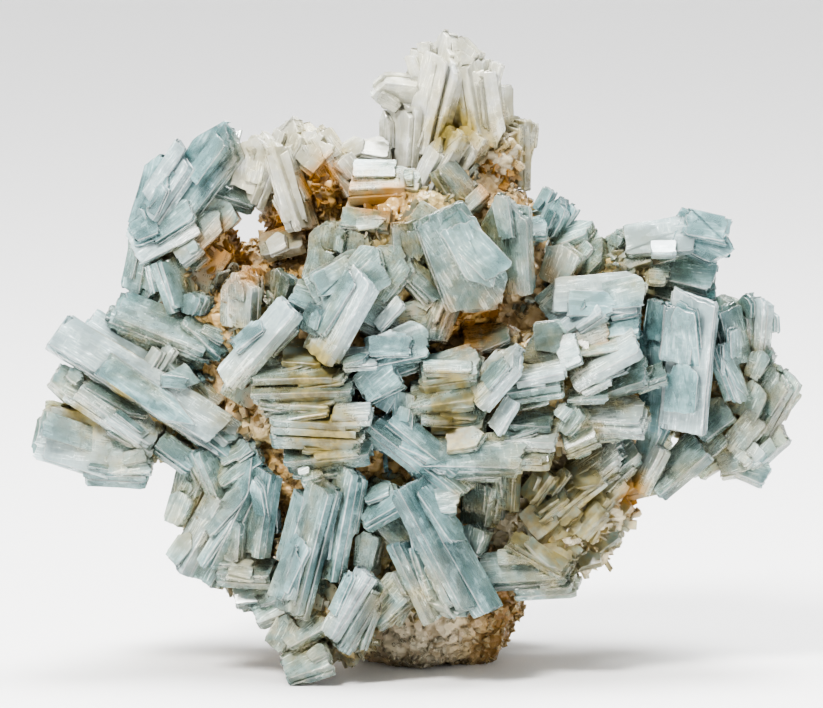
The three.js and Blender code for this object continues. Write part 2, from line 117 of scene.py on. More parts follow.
# Crystal books of each group, as they are seen from the front:
# across, up, depth (front is negative), length, width, thickness,
# direction of the length, roll about it, outline, and where given the dip of its far end.
BOOKS = {
    "centre_plates": [
        (-4.5, 37.8, -10.5, 6, 5.4, 2.6, 40, 20, "slab"),
        (-4.5, 62.4, -2, 8, 6, 2.3, 4, 62, "lath"),
        (-5.7, 57.7, -3, 7.5, 6, 1.9, -6, 58, "lath"),
        (-9.5, 53.5, -6, 9, 9, 2, 85, 15, "slab"),
        (-8, 50.5, -8, 11, 7, 2.2, 30, 15, "point"),
        (-9, 46, -10.5, 12.5, 6.3, 2.2, 62, 55, "lath"),
        (-13, 47.5, -7, 6, 5, 2.4, -20, 40, "slab"),
        (5.5, 52.6, -8.5, 14.5, 9, 2.4, -62, 14, "slab"),
        (1.5, 56.5, -6.5, 8, 6, 2.2, -30, 20, "slab"),
        (11.5, 55.2, -5.5, 13.5, 6, 2.4, 95, 20, "point"),
        (5, 62, -1, 7, 5.4, 1.9, -50, 47, "slab"),
        (3.8, 47, -8, 8.5, 3.5, 1.9, 70, 49, "lath"),
        (2, 48, -7, 6, 4, 2, 60, 25, "slab"),
        (-2, 42, -10, 8.5, 5.5, 2.4, 20, 25, "slab"),
    ],
    "left_centre_stack": [
        (-22, 48, -4.5, 7.5, 6.1, 1.9, 88, 47, "point"),
        (-17.3, 48.5, -4, 7, 6, 1.9, 80, 48, "slab"),
        (-19.5, 42.5, -9.5, 13.5, 4.3, 2.2, 50, 48, "lath"),
        (-14.5, 39.3, -8.5, 12.5, 9, 1.7, 6, 68, "slab"),
        (-13.5, 37.6, -9, 14.5, 10, 1.9, 5, 68, "slab"),
        (-12, 34, -10, 12.5, 10, 2, 2, 66, "slab"),
        (-11.5, 31.6, -9.5, 13.5, 9, 2, 3, 68, "slab"),
        (-10.5, 29.4, -9, 12.5, 8, 2.3, 12, 60, "slab"),
        (-12, 27.8, -8, 7, 6, 2.4, 0, 50, "slab"),
        (-5.5, 31.5, -8, 8, 7, 2.4, 5, 60, "slab"),
    ],
    "right_centre_stack": [
        (9.5, 42.6, -6.5, 7.5, 6, 1.9, 5, 60, "slab"),
        (4.5, 39.2, -10, 9.5, 6, 2.5, 14, 50, "slab"),
        (3.8, 36.2, -10, 9.5, 6, 2.4, 14, 50, "slab"),
        (10.3, 38.8, -11.5, 9.5, 4.6, 2.2, 48, 48, "point"),
        (16.5, 41.8, -7.5, 8.5, 6.5, 2.2, 10, 20, "rhomb"),
        (15.6, 39.3, -9.5, 7, 5, 1.1, 12, 62, "lath"),
        (14.5, 37.5, -9, 8, 5, 2, 8, 55, "lath"),
        (23.3, 40.5, -7.5, 10, 7, 1.3, 30, 66, "lath"),
        (25, 38, -6.5, 9, 6.2, 1.9, 25, 49, "slab"),
        (24, 33.5, -6.5, 11.5, 6, 2.8, 3, 45, "slab"),
        (14.3, 31, -9.5, 7.5, 6, 1.7, 4, 62, "slab"),
        (12.5, 29, -9, 10.5, 7, 2, 5, 60, "slab"),
        (7.5, 28.6, -10.5, 14.5, 6, 3.2, 5, 35, "slab"),
    ],
    "lower_centre_blades": [
        (-3, 10.5, -10.5, 8, 5.5, 2.8, 50, 25, "slab"),
        (-13.5, 17, -12, 18.5, 5.1, 2.2, 76, 46, "lath"),
        (-14.8, 19.5, -10, 9.5, 3.4, 2.2, 76, 56, "lath"),
        (-9.6, 20, -11, 15.5, 3.8, 2.2, 80, 50, "lath"),
        (-8.5, 10.2, -13.5, 10.5, 3.2, 1.8, 60, 50, "lath"),
        (-7.2, 8.8, -12.5, 10.5, 3.5, 2.2, 60, 55, "lath"),
        (-13.3, 2.6, -12, 7, 5.7, 1.9, 28, 49, "slab"),
        (-16, 6.3, -9.5, 5, 4, 3, 60, 30, "slab"),
        (-13.8, 7.3, -10.5, 6.5, 6.1, 1.9, 40, 48, "slab"),
        (-12, 10.5, -9, 7, 5.5, 3, 70, 20, "slab"),
        (0.5, 28, -10, 15, 4.4, 2.2, -38, 56, "lath"),
        (-4.5, 22.5, -10.5, 6.5, 6.4, 1.9, 40, 49, "slab"),
        (3, 17, -13, 18.5, 6.2, 2.2, -62, 52, "lath"),
        (6, 14.5, -11.5, 14, 4.7, 2.2, -60, 54, "lath"),
        (0.3, 13, -12.3, 11.5, 3.5, 2.2, -65, 54, "lath"),
    ],
    "lower_left_blades": [
        (-20, 11.4, -5, 6, 5, 3.4, 20, 30, "slab"),
        (-25.3, 26.5, -4, 7.5, 4.6, 1.9, -65, 47, "lath"),
        (-27, 18.8, -5.5, 11, 4.5, 2.2, 62, 56, "lath"),
        (-22.8, 21.5, -6.5, 16, 4, 2.2, 65, 50, "point"),
        (-19.3, 21.5, -7.5, 11.5, 4.4, 2.2, 82, 52, "lath"),
        (-21, 14.2, -6.5, 8.5, 5, 2.4, 4, 50, "slab"),
        (-17.7, 9.5, -6.5, 6, 5, 2.4, 30, 40, "slab"),
        (-28.3, 24, -2.5, 8, 6, 1.9, 75, 52, "slab"),
        (-22, 27.5, -4.5, 7, 6.5, 1.9, 40, 52, "slab"),
    ],
    "lower_right_blades": [
        (14, 14.3, -7, 13.5, 5.5, 3, 8, 25, "slab"),
        (15.3, 16.2, -8.5, 8.5, 3, 1.6, -30, 48, "lath"),
        (16.5, 12.6, -6, 9, 5.5, 1.9, 10, 56, "slab"),
        (8.5, 23, -5, 7, 5.7, 2.6, 88, 40, "slab"),
        (11.5, 24.5, -6, 6, 3.2, 1.8, 88, 42, "lath"),
        (22, 26.5, -4.5, 9.5, 4.4, 1.7, 40, 52, "lath"),
        (20, 24, -5.5, 8.5, 4.4, 1.6, 42, 52, "lath"),
        (25, 28, -2.5, 7, 5.8, 1.9, 40, 52, "lath"),
        (28.8, 27.3, -2.5, 7, 4.8, 1.9, 65, 54, "lath"),
        (23.6, 24.4, -1.5, 9, 6.5, 3.2, 50, 20, "slab"),
        (28.3, 25.6, -0.5, 7, 6.7, 1.9, 20, 57, "slab"),
    ],
    "left_arm_blades": [
        (-34, 37.5, -4, 27, 5.5, 2.4, -32, 20, "lath"),
        (-33, 40, -1.5, 20, 4.4, 2, -33, 56, "lath"),
        (-38.5, 42, 0, 9, 6.1, 1.9, -33, 56, "slab"),
        (-37.5, 33.8, -3.5, 14, 5, 2.2, -33, 50, "lath"),
        (-36.5, 32.2, -5, 6.5, 2.6, 1.8, -33, 50, "lath"),
        (-43.8, 37.3, -2.5, 4.4, 4, 3, -30, 30, "slab"),
        (-42, 30, -2, 12, 9, 2.8, -8, 10, "slab"),
        (-45.2, 31, -1, 6, 5.5, 2.4, 80, 15, "slab"),
        (-37, 27, -1.5, 10, 6.5, 2.2, 3, 55, "slab"),
        (-36, 28, -3.5, 7, 5.5, 2, 10, 25, "slab"),
        (-30, 28.8, -4, 6, 3.2, 1.8, -35, 32, "lath"),
        (-26, 31.8, -2.5, 10, 5.4, 2.2, -38, 47, "lath"),
    ],
    "left_shoulder_blades": [
        (-31.8, 45, -1.5, 14, 6, 2.2, -20, 46, "lath"),
        (-31.3, 42.9, -0.5, 13.5, 4.9, 2.2, -18, 55, "lath"),
        (-26, 43.5, -1.5, 8, 5.5, 1.9, -35, 50, "slab"),
        (-36, 44.5, 0, 7, 4.8, 1.9, -15, 48, "slab"),
    ],
    "upper_left_blades": [
        (-27.3, 62.6, 1, 18, 7, 3, 58, 20, "slab"),
        (-32.4, 61, 1, 11, 4.8, 2.6, 74, 20, "slab"),
        (-30.7, 62, 0, 9, 3.7, 1.9, 57, 50, "lath"),
        (-31, 56.5, 0.5, 10, 6, 2.8, 35, 25, "slab"),
        (-34.6, 53, 3, 8.5, 4.2, 1.9, 80, 51, "lath"),
        (-33, 51, 2, 7, 5.5, 1.9, 70, 56, "slab"),
        (-30, 50, 0, 8, 6.2, 1.9, -65, 52, "slab"),
        (-22.6, 61.3, 2, 7, 5.2, 1.9, -10, 50, "slab"),
        (-27, 52, 2, 9, 7, 3.2, 70, 12, "slab"),
    ],
    "top_left_peak": [
        (-19.8, 64.5, 2, 9.5, 7.7, 2.2, 75, 57, "slab"),
        (-15.7, 62, 0, 11.5, 4.9, 2.2, -72, 56, "lath"),
        (-15.9, 67.3, 3, 7.5, 5.3, 1.9, 68, 49, "point"),
        (-13.6, 67.5, 4, 6.5, 5.2, 1.9, 98, 54, "point"),
        (-10.5, 66, 2.5, 8.5, 4.7, 1.9, -55, 50, "lath"),
        (-16.5, 55, 1, 6.5, 4.8, 1.9, 20, 52, "slab"),
        (-6, 66, 3, 6.5, 4.6, 1.9, 15, 48, "slab"),
        (-9, 63.3, 2, 6, 3.8, 2.6, -50, 30, "slab"),
    ],
    "crown_blades": [
        (-2.8, 74.3, 5, 6, 4, 3.2, 172, 25, "point"),
        (-1.8, 68.8, 4, 9, 5.9, 1.9, 88, 53, "lath"),
        (0.6, 72.5, 5, 14, 5.7, 2.2, 80, 48, "lath"),
        (2.6, 74, 6, 16, 8, 2.2, 76, 55, "point"),
        (5.5, 78.4, 7, 6, 5, 3.2, 60, 20, "slab"),
        (8, 72.5, 6, 12.5, 6.8, 2.2, -80, 56, "lath"),
        (6.5, 67, 4, 6, 5, 2.6, 70, 30, "slab"),
        (3.2, 65.3, 2, 10, 5, 2.2, 60, 55, "lath"),
        (12.5, 66.5, 9, 9.5, 4, 2.2, 90, 47, "lath"),
    ],
    "right_arm_blades": [
        (25.3, 55, 3, 4.5, 3, 2.6, 75, 22, "point"),
        (30.8, 55.3, 1, 10, 5, 3.2, 10, 32, "slab"),
        (35.8, 55.4, 1.5, 8.5, 5.6, 3, -24, 28, "point"),
        (33.2, 51.4, 2, 10, 6.5, 2.2, -7, 45, "slab"),
        (29.3, 50.2, 2.5, 9, 6.5, 1.9, -10, 50, "slab"),
        (23, 48.3, -3, 13, 6, 2.6, 5, 22, "slab"),
        (24.5, 44.3, -3.5, 8.5, 5.5, 2.4, 15, 50, "slab"),
        (19.7, 56, 2, 6.5, 3.6, 1.9, 22, 55, "point"),
        (21.5, 52.8, 1, 7.5, 4.8, 1.9, 45, 47, "point"),
        (24.8, 51.9, 2, 7, 6.7, 1.9, 20, 56, "slab"),
        (17.5, 58.5, 2, 5.5, 3.2, 2.4, 62, 30, "point"),
    ],
    "right_edge_blades": [
        (34, 40, -4, 18.5, 6.5, 2.8, 86, 20, "lath"),
        (39.5, 43.5, -1.5, 8.5, 4.5, 1.9, -75, 46, "lath"),
        (43, 45.2, 0.5, 8.5, 4.9, 1.9, 90, 54, "slab"),
        (39, 39, -3, 8.5, 3.5, 1.8, -68, 51, "lath"),
        (42, 40, 1, 8, 6, 3, 60, 18, "slab"),
        (37.3, 33, -2, 6, 4.6, 2.4, 50, 22, "slab"),
        (42.3, 33.7, 0.5, 14.5, 7.4, 3, 58, 20, "slab"),
        (45, 35, -0.5, 9, 3.9, 1.9, 62, 48, "lath"),
        (42.4, 28.5, -1.5, 3.5, 3.4, 2.8, 55, 30, "slab"),
        (39.8, 27.4, 0, 4.2, 4.2, 4, 20, 20, "slab"),
        (33, 27.2, -2.5, 8.5, 5.2, 1.9, 42, 51, "lath"),
    ],
    "back_upper_blades": [
        (-4, 62, 21, 14, 7, 3, 110, -18, "lath", -6),
        (4, 58, 23, 12, 9, 3.2, 40, -16, "slab"),
        (-10, 54, 22.5, 13, 8, 3, 150, -20, "slab"),
        (9, 66, 18, 12, 6, 3, 80, -20, "point"),
        (10, 53, 22, 9, 5, 2.8, 120, -34, "lath"),
    ],
    "back_left_blades": [
        (-27, 45, 19, 16, 7, 3, 145, -18, "lath"),
        (-22, 36, 22, 12, 9, 3, 30, -16, "slab"),
        (-30, 33, 18, 13, 7, 3, 170, -20, "slab"),
        (-17, 44, 23, 9, 5, 2.6, 70, -50, "lath"),
        (-19, 27, 20.5, 11, 7, 3, 110, -24, "slab"),
    ],
    "back_right_blades": [
        (29, 46, 19.5, 14, 7, 3, 20, -20, "lath"),
        (24, 38, 22.5, 12, 9, 3, 65, -16, "slab"),
        (34, 37, 18, 13, 7, 3, 100, -22, "lath"),
        (18, 45, 23, 9, 5, 2.8, 140, -48, "lath"),
        (28, 29.5, 20, 11, 7, 3, 35, -24, "slab"),
    ],
    "back_lower_blades": [
        (-6, 18, 23, 14, 8, 3, 65, -20, "slab"),
        (5, 21, 24, 13, 7, 3, 120, -18, "lath"),
        (-13, 14, 20, 11, 6, 3, 100, -26, "lath"),
        (12, 16, 22, 10, 7, 3, 45, -26, "slab"),
    ],
}

# Smaller books of each group, which the solids leave out.
SMALL_BOOKS = {
    "centre_plates": [
        (-0.7, 62.3, -2.5, 3, 4, 3, 4, 45, "slab"),
        (-12.5, 45.5, -9, 4, 3.4, 2, 70, 30, "lath"),
        (-3.3, 46.2, -10, 5, 2, 1.2, 50, 35, "lath"),
        (7.5, 60.5, -2.5, 4, 2.4, 1.1, 45, 45, "lath"),
        (0.5, 50, -8, 7, 4, 2, -40, 25, "slab"),
        (-6, 46, -7.5, 9, 6, 2.4, -20, 15, "slab"),
        (0, 45, -7.5, 8, 6, 2.4, 10, 15, "slab"),
        (-1.2, 54.5, -7.6, 7, 4.5, 1.6, -78, 18, "slab"),
        (-6, 57.9, -6.8, 7, 3, 1.2, -6, 24, "lath"),
        (-3.5, 52, -8.2, 8, 6, 1.6, 55, 14, "point"),
        (-12, 52.5, -7, 5, 3.6, 1.4, 75, 20, "slab"),
        (-9.6, 55.5, -6.6, 4, 3, 1.2, 80, 25, "slab"),
    ],
    "left_centre_stack": [
        (-14, 41, -7.5, 5.5, 7, 1.5, 3, 65, "slab"),
        (-14.5, 35.8, -9.5, 9.5, 9, 1.7, 3, 68, "slab"),
        (-6.9, 40.7, -11, 4.8, 4, 1.1, 5, 55, "lath"),
        (-8, 33.8, -13.5, 5.5, 4, 1.4, 2, 62, "lath"),
        (-1.2, 34, -10, 5.5, 3.4, 2, 88, 30, "lath"),
        (-20, 38.5, -5.5, 9, 6, 2.4, 60, 15, "slab"),
    ],
    "right_centre_stack": [
        (22.5, 37.8, -8.5, 4.5, 4, 1.1, 28, 62, "lath"),
        (21.5, 36.2, -8.5, 5.5, 4, 1.1, 5, 62, "lath"),
        (29.4, 38.4, -5.5, 4.4, 4, 1.4, 20, 58, "lath"),
        (19.4, 33.2, -8.5, 4.5, 3.5, 2.4, 60, 30, "slab"),
        (20.5, 31, -7.5, 5, 4, 2.4, 25, 40, "lath"),
        (13.5, 33, -8.5, 8, 6, 2, 3, 60, "slab"),
        (11, 33.6, -11.5, 5, 2.6, 1.2, 60, 40, "lath"),
        (5.5, 33, -9, 8, 5, 2.6, 5, 35, "slab"),
        (21, 43, -4.5, 8, 5, 2.4, 20, 25, "slab"),
    ],
    "lower_centre_blades": [
        (-13, 26.3, -10.5, 3.4, 3, 1.5, 20, 45, "lath"),
        (-5.8, 16.8, -10, 5.5, 3.8, 2.4, 85, 25, "slab"),
        (1.3, 30, -10.5, 12, 3.2, 2.2, -38, 38, "lath"),
        (3.3, 10.5, -12.5, 5.5, 3.4, 1.9, -20, 42, "lath"),
        (3, 22.5, -11.5, 5.5, 3.8, 2.4, 10, 32, "slab"),
        (-1, 18, -9.5, 9, 6, 3, -40, 20, "slab"),
    ],
    "lower_left_blades": [
        (-29.3, 22, -4, 5, 3.4, 2.6, 70, 30, "slab"),
        (-22.8, 18, -7, 5.5, 3.2, 2.2, 88, 35, "lath"),
        (-24.5, 15, -5, 6, 4.2, 2.8, 60, 30, "slab"),
    ],
    "lower_right_blades": [
        (7.5, 18, -7.5, 4.2, 3.6, 3, 80, 30, "slab"),
        (15.3, 25, -6.5, 5, 3.4, 1.5, 58, 48, "lath"),
        (22.5, 22.2, -4.5, 5.5, 3.6, 2.2, 60, 35, "slab"),
        (17.5, 20, -4.5, 9, 6, 3.2, 30, 20, "slab"),
        (23.3, 27.9, -4, 6.9, 2.4, 1.4, 27, 50, "lath"),
        (20.9, 24.1, -6.3, 6.8, 2.4, 1.5, 37, 48, "lath"),
        (17.1, 22.1, -6.8, 5.2, 2.2, 1.2, 40, 50, "lath"),
        (25.5, 26, -4, 5, 2.4, 1.3, 45, 45, "lath"),
        (21.9, 20.4, -6, 5, 3, 1.8, 48, 40, "lath"),
        (17.8, 25.2, -6, 4.2, 2, 1, 55, 45, "lath"),
        (19.3, 21.2, -6.4, 3.6, 2.6, 1.4, 50, 25, "slab"),
        (25.6, 21.5, -3, 4, 2.6, 1.4, 62, 30, "slab"),
        (24, 18.4, -3, 4.4, 3, 1.5, 40, 28, "point"),
        (21.6, 15.6, -3.4, 4, 3, 1.4, 25, 30, "slab"),
        (18.5, 17.2, -6, 4.6, 2.6, 1.3, -35, 40, "lath"),
    ],
    "left_arm_blades": [
        (-29.5, 38.2, -3.5, 5.5, 4.4, 2, -20, 22, "rhomb"),
        (-33, 40.3, -3.5, 4, 2.4, 1.1, 60, 45, "lath"),
        (-31.4, 40.7, -3.2, 4, 2.4, 1.1, 60, 45, "lath"),
        (-36, 34, 4, 16, 9, 2.8, -24, -12, "slab"),
    ],
    "upper_left_blades": [
        (-33.4, 58, 1.5, 4.4, 3.4, 2.4, 100, 20, "slab"),
        (-28.3, 54, -1.5, 3.6, 2.6, 1.4, 38, 40, "lath"),
        (-27.3, 47.6, -1.5, 3.4, 3.4, 2.8, 80, 40, "slab"),
        (-26, 57.3, 2, 9, 5.5, 3, 50, 10, "slab"),
        (-25.8, 65.5, -1, 7, 3.4, 1.6, 55, 51, "lath"),
        (-31.4, 64.2, 0, 8.5, 2, 1.3, 57, 26, "lath"),
    ],
    "top_left_peak": [
        (-12.6, 65.5, 2, 5, 3.4, 2.4, -60, 40, "lath"),
        (-20.3, 65, 0.8, 7.5, 4.4, 1.6, 76, 18, "slab"),
        (-16.2, 61.8, -1.2, 10, 3.2, 1.4, -74, 20, "lath"),
        (-12.9, 66.3, 1.5, 6, 5.2, 1.6, 60, 20, "slab"),
    ],
    "crown_blades": [
        (10.6, 72.5, 8, 5.5, 3.6, 1.8, -88, 42, "lath"),
        (1.5, 64.5, 1, 5.5, 3, 1.4, 65, 45, "lath"),
        (4.2, 69, 8, 11, 6, 4, 85, 10, "slab"),
        (8.2, 72, 4.6, 10.5, 5, 1.6, -81, 18, "slab"),
        (1.3, 72.6, 3.4, 13, 3.6, 1.5, 78, 20, "lath"),
        (-0.2, 77.2, 5, 3.4, 2, 1.1, 112, 30, "lath"),
        (1.3, 78.8, 5.4, 3.6, 2, 1.1, 102, 30, "lath"),
        (9.8, 76, 6, 4.4, 2, 1.1, 76, 30, "lath"),
        (12.3, 67.8, 7.4, 5, 2.2, 1.2, 88, 22, "lath"),
    ],
    "right_arm_blades": [
        (31, 54.3, -1.5, 3.4, 2.4, 1.3, 3, 52, "lath"),
        (21.5, 46, -4.5, 4.5, 3.6, 2, 38, 46, "lath"),
        (19.5, 45.3, -4, 4, 3.4, 1.8, 38, 46, "lath"),
        (27.5, 53, 3, 8, 5, 3.2, 5, 22, "slab"),
        (15, 56.8, -2, 3.2, 3.2, 1.6, 10, 40, "slab"),
        (16.2, 60.6, 3, 3.4, 2, 1.2, 65, 35, "lath"),
        (18.5, 52.5, -0.5, 6, 5, 3, 70, 22, "slab"),
        (19, 48, -1.5, 7, 6, 3, 40, 22, "slab"),
    ],
    "right_edge_blades": [
        (30.2, 45.5, -3.5, 5.5, 3.6, 1.6, 86, 45, "lath"),
        (36, 29.5, 0, 8, 5.4, 3.2, 50, 22, "slab"),
        (30, 41.5, -2.5, 7, 4, 2, 88, 25, "slab"),
        (30, 35, -2.5, 8, 4, 2.2, 84, 25, "slab"),
        (29.6, 30.5, -2.5, 5, 3.4, 2, 75, 30, "slab"),
        (44.3, 30, -0.5, 6, 4, 2.2, 52, 25, "slab"),
        (42, 26.6, -0.5, 5.5, 3.6, 2, -15, 25, "slab"),
        (38.4, 46.2, 2, 5, 3.4, 2.6, 80, 30, "slab"),
    ],
    "back_upper_blades": [
        (-1, 51, 21, 9, 5, 2.6, 20, -55, "lath"),
    ],
    "back_left_blades": [
        (-26, 39.5, 17.5, 8, 5, 2.4, 10, -58, "lath"),
    ],
    "back_right_blades": [
        (22, 31.5, 19, 8, 5, 2.4, 0, -56, "lath"),
    ],
    "back_lower_blades": [
        (0, 28, 21, 10, 5, 2.6, 10, -52, "lath"),
    ],
}

# The crust each group grows on: across, up, depth, half sizes across, up and in depth.
CRUSTS = {
    "centre_plates": [(-1, 51.5, -3, 13, 11.5, 5.6)],
    "left_centre_stack": [(-14, 36, -3.5, 10, 9, 5.6), (-19, 45, -1.5, 5.6, 7, 5)],
    "right_centre_stack": [(13, 36, -3.5, 15, 9.5, 5.6)],
    "lower_centre_blades": [(-4, 17, -5, 11, 11.5, 5), (-10.5, 8.5, -7, 6.6, 7, 5)],
    "lower_left_blades": [(-23, 19.5, -1.5, 6.5, 9.5, 5)],
    "lower_right_blades": [(18, 20.5, -1.5, 11, 8, 5.4)],
    "left_arm_blades": [(-34, 33.8, 1, 11, 7.2, 5)],
    "left_shoulder_blades": [(-29, 44, 3, 9, 4.6, 5)],
    "upper_left_blades": [(-27.5, 53, 4, 6.5, 8, 4.6)],
    "top_left_peak": [(-13, 61.5, 5, 6.8, 7.2, 5)],
    "crown_blades": [(6, 65.5, 8, 8.6, 7, 5.4)],
    "right_arm_blades": [(23.5, 50.5, 4, 10, 5.6, 5.4)],
    "right_edge_blades": [(38.5, 36, 3, 6.8, 10.5, 5)],
    "back_upper_blades": [(0, 56, 19, 12, 10, 5)],
    "back_left_blades": [(-23, 38, 17, 10, 11, 5.2)],
    "back_right_blades": [(25, 38, 17.5, 10, 10, 5.2)],
    "back_lower_blades": [(-1, 19, 19, 12, 9, 5.2)],
}

# Lumps of the matrix: world x, y, z of the middle and half sizes along x, y and z.
MATRIX_LUMPS = [
    (-2, 8.5, 34, 33.5, 14.5, 25.5),
    (1, 8.5, 55, 14, 11, 10),
    (2, 9, 6, 13, 11.5, 10.5),
]

# Middle of the foot in plan.
FOOT = (0.5, 0.0)

CREAM_GROUPS = ("top_left_peak", "crown_blades")

# Places where the colour turns: across, up, radius, cream, yellow and rust, each 0 to 1.
STAINS = [
    (4, 74, 11, 0.8, 0.05, 0.0),
    (5, 69.5, 3.8, 0.4, 1.0, 0.3),
    (12.5, 66, 5, 0.9, 0.15, 0.0),
    (-19.8, 64.5, 5, 1.0, 0.3, 0.0),
    (-14, 67, 5, 0.8, 0.05, 0.0),
    (-16, 57.5, 4, 0.2, 0.3, 1.0),
    (-11.5, 62.5, 5, 0.1, 0.3, 1.0),
    (-4, 59.8, 4.5, 0.1, 0.4, 0.9),
    (9.5, 63, 4.5, 0.3, 0.3, 0.9),
    (13, 56.8, 2.2, 0.1, 0.3, 1.0),
    (17, 52, 4.2, 0.3, 0.3, 0.8),
    (13.5, 47.5, 3.6, 0.3, 0.4, 0.8),
    (7.5, 44.8, 7, 0.1, 0.4, 1.0),
    (-22.5, 53.5, 7, 0.15, 0.3, 1.0),
    (-36, 43, 3.5, 0.2, 0.5, 0.5),
    (-36, 37, 2.6, 0.2, 1.0, 0.35),
    (-42.5, 32.5, 3.2, 0.4, 1.0, 0.2),
    (-36, 28, 3, 0.7, 0.4, 0.0),
    (-44.5, 36.5, 4, 0.8, 0.2, 0.0),
    (-31, 43, 4, 0.6, 0.3, 0.2),
    (-21, 35, 5.5, 0.4, 0.5, 0.6),
    (-13.5, 38.2, 6, 0.35, 0.85, 0.25),
    (-11.5, 31.2, 5.5, 0.4, 0.9, 0.15),
    (3.8, 36.2, 5, 0.4, 0.8, 0.05),
    (5, 32, 4.5, 0.4, 0.85, 0.1),
    (24, 42.5, 3, 0.2, 0.3, 0.7),
    (18, 21, 11, 1.0, 0.75, 0.15),
    (17.5, 18, 3, 0.3, 0.8, 0.35),
    (27, 23.5, 3, 0.3, 0.8, 0.85),
    (7, 23.5, 3.4, 0.2, 0.5, 0.7),
    (28.8, 27.5, 3, 0.8, 0.1, 0.0),
    (40, 27.4, 3.5, 0.7, 0.3, 0.3),
    (46, 34, 5, 0.9, 0.3, 0.1),
    (33, 27, 4, 0.5, 0.4, 0.3),
    (30, 50.8, 3, 0.3, 0.5, 0.3),
    (-29, 20, 5, 0.8, 0.1, 0.0),
    (-21, 14, 4.5, 0.9, 0.3, 0.0),
    (-16, 6.5, 4.5, 0.9, 0.25, 0.0),
    (-13.3, 2.5, 4, 0.9, 0.2, 0.0),
    (0.3, 12, 4, 0.8, 0.45, 0.0),
    (-3, 10, 3.5, 0.5, 0.6, 0.1),
    (-12, 27.5, 4, 0.3, 0.5, 0.3),
    (0, 6, 7.5, 1.0, 0.1, 0.0),
]


def world_place(across, up, depth):
    """World x, y and z in millimetres of a point given as the rows give it."""
    height = (up - SEEN_FLOOR - depth * math.sin(LOOK_DOWN)) / math.cos(LOOK_DOWN)
    return across - REST_X, depth - REST_Y, height


def seen_height(y, z):
    """How high a point with this world y and z is seen, as the rows give it."""
    return z * math.cos(LOOK_DOWN) + SEEN_FLOOR + (y + REST_Y) * math.sin(LOOK_DOWN)


def seeded_spread(seed):
    """The same even spread, from -0.5 to 0.5, that the solids' corners take."""
    span = 2 ** 32
    state = (seed * 2654435761 + 12345) % span

    def draw():
        nonlocal state
        state = (state * 1664525 + 1013904223) % span
        return state / span - 0.5

    return draw


def dip_of(row):
    """How far a book's far end dips towards the front, in degrees."""
    return row[9] if len(row) > 9 else 0


def book_frame(row):
    """Middle, length axis, width axis and face axis of a book, in millimetres."""
    turn, tilt, lean = (math.radians(v) for v in (row[6], row[7], dip_of(row)))
    u = Vector((math.cos(turn), 0, math.sin(turn)))
    side = Vector((-math.sin(turn), 0, math.cos(turn)))
    v = side * math.cos(tilt) + Vector((0, math.sin(tilt), 0))
    n = u.cross(v)
    c, s = math.cos(-lean), math.sin(-lean)
    u, n = u * c - n * s, n * c + u * s
    return np.array(world_place(*row[:3])), np.array(u), np.array(v), np.array(n)


def outline_of(row, seed):
    """Corners of a book in its own plane, each a little off the plain outline."""
    draw = seeded_spread(seed)
    length, width = row[3:5]
    corners = []
    for a, b in OUTLINES[row[8]]:
        x = (a + 0.05 * draw()) * length
        y = (b + 0.07 * draw()) * width
        corners.append((x, y))
    return corners


class Crystals:
    """Closed bodies with a colour of their own, gathered and then written as one mesh."""

    def __init__(self):
        self.points, self.local, self.tones, self.faces, self.rims = [], [], [], [], []
        self.count = 0

    def add(self, points, local, tone, faces, rims):
        self.points.append(points)
        self.local.append(local)
        self.tones.append(np.tile(np.array(tone), (len(points), 1)))
        self.faces.extend(tuple(self.count + i for i in face) for face in faces)
        self.rims.extend(rims)
        self.count += len(points)


def stepped_end(place, size, rng, comb):
    """Points along an end that breaks in steps of uneven depth."""
    steps = max(1, int(round(size / rng.uniform(*STEP_WIDTHS))))
    cuts = np.linspace(0.0, 1.0, steps + 1)
    depth = rng.uniform(0, comb)
    out = []
    for low, high in zip(cuts, cuts[1:]):
        if rng.uniform() < STEP_CHANGES:
            depth = rng.uniform(0, comb) * (1.0 if rng.uniform() < STEP_SHALLOW else STEP_DEEPER)
        slope = rng.normal(0, STEP_SLOPE)
        out.append(place(low + STEP_GAP, max(0.0, depth - slope)))
        out.append(place(high - STEP_GAP, max(0.0, depth + slope)))
    return out


def long_side(place, size, rng):
    """Points along a nearly straight side."""
    steps = max(1, int(round(size / SIDE_STEP)))
    out = []
    for i in range(steps):
        t = (i + (SIDE_END if i == 0 else rng.uniform(-0.2, 0.2))) / steps
        out.append(place(t, rng.uniform(0, SIDE_WAVER)))
    out.append(place(1 - SIDE_END / steps, 0.0))
    return out


def edge_walk(corners, rng, comb):
    """The outline of one plate: nearly straight sides, and ends that break in steps."""
    out = []
    for (x0, y0), (x1, y1) in zip(corners, corners[1:] + corners[:1]):
        dx, dy = x1 - x0, y1 - y0
        size = math.hypot(dx, dy)
        inward = (-dy / size, dx / size)

        def place(t, push):
            return x0 + dx * t + inward[0] * push, y0 + dy * t + inward[1] * push

        is_end = abs(dy) > abs(dx) * 0.7
        if is_end and comb > 0:
            out.extend(stepped_end(place, size, rng, comb))
        else:
            out.extend(long_side(place, size, rng))
    return out


def chipped(corners, rng, most):
    """The outline with its corners broken off by uneven amounts."""
    count = len(corners)
    out = []
    for i, (x, y) in enumerate(corners):
        px, py = corners[i - 1]
        qx, qy = corners[(i + 1) % count]
        back, on = math.hypot(px - x, py - y), math.hypot(qx - x, qy - y)
        a = min(rng.uniform(LEAST_CHIP, most), CHIP_SHARE * back) / back
        b = min(rng.uniform(LEAST_CHIP, most), CHIP_SHARE * on) / on
        out.append((x + (px - x) * a, y + (py - y) * a))
        out.append((x + (qx - x) * b, y + (qy - y) * b))
    return out


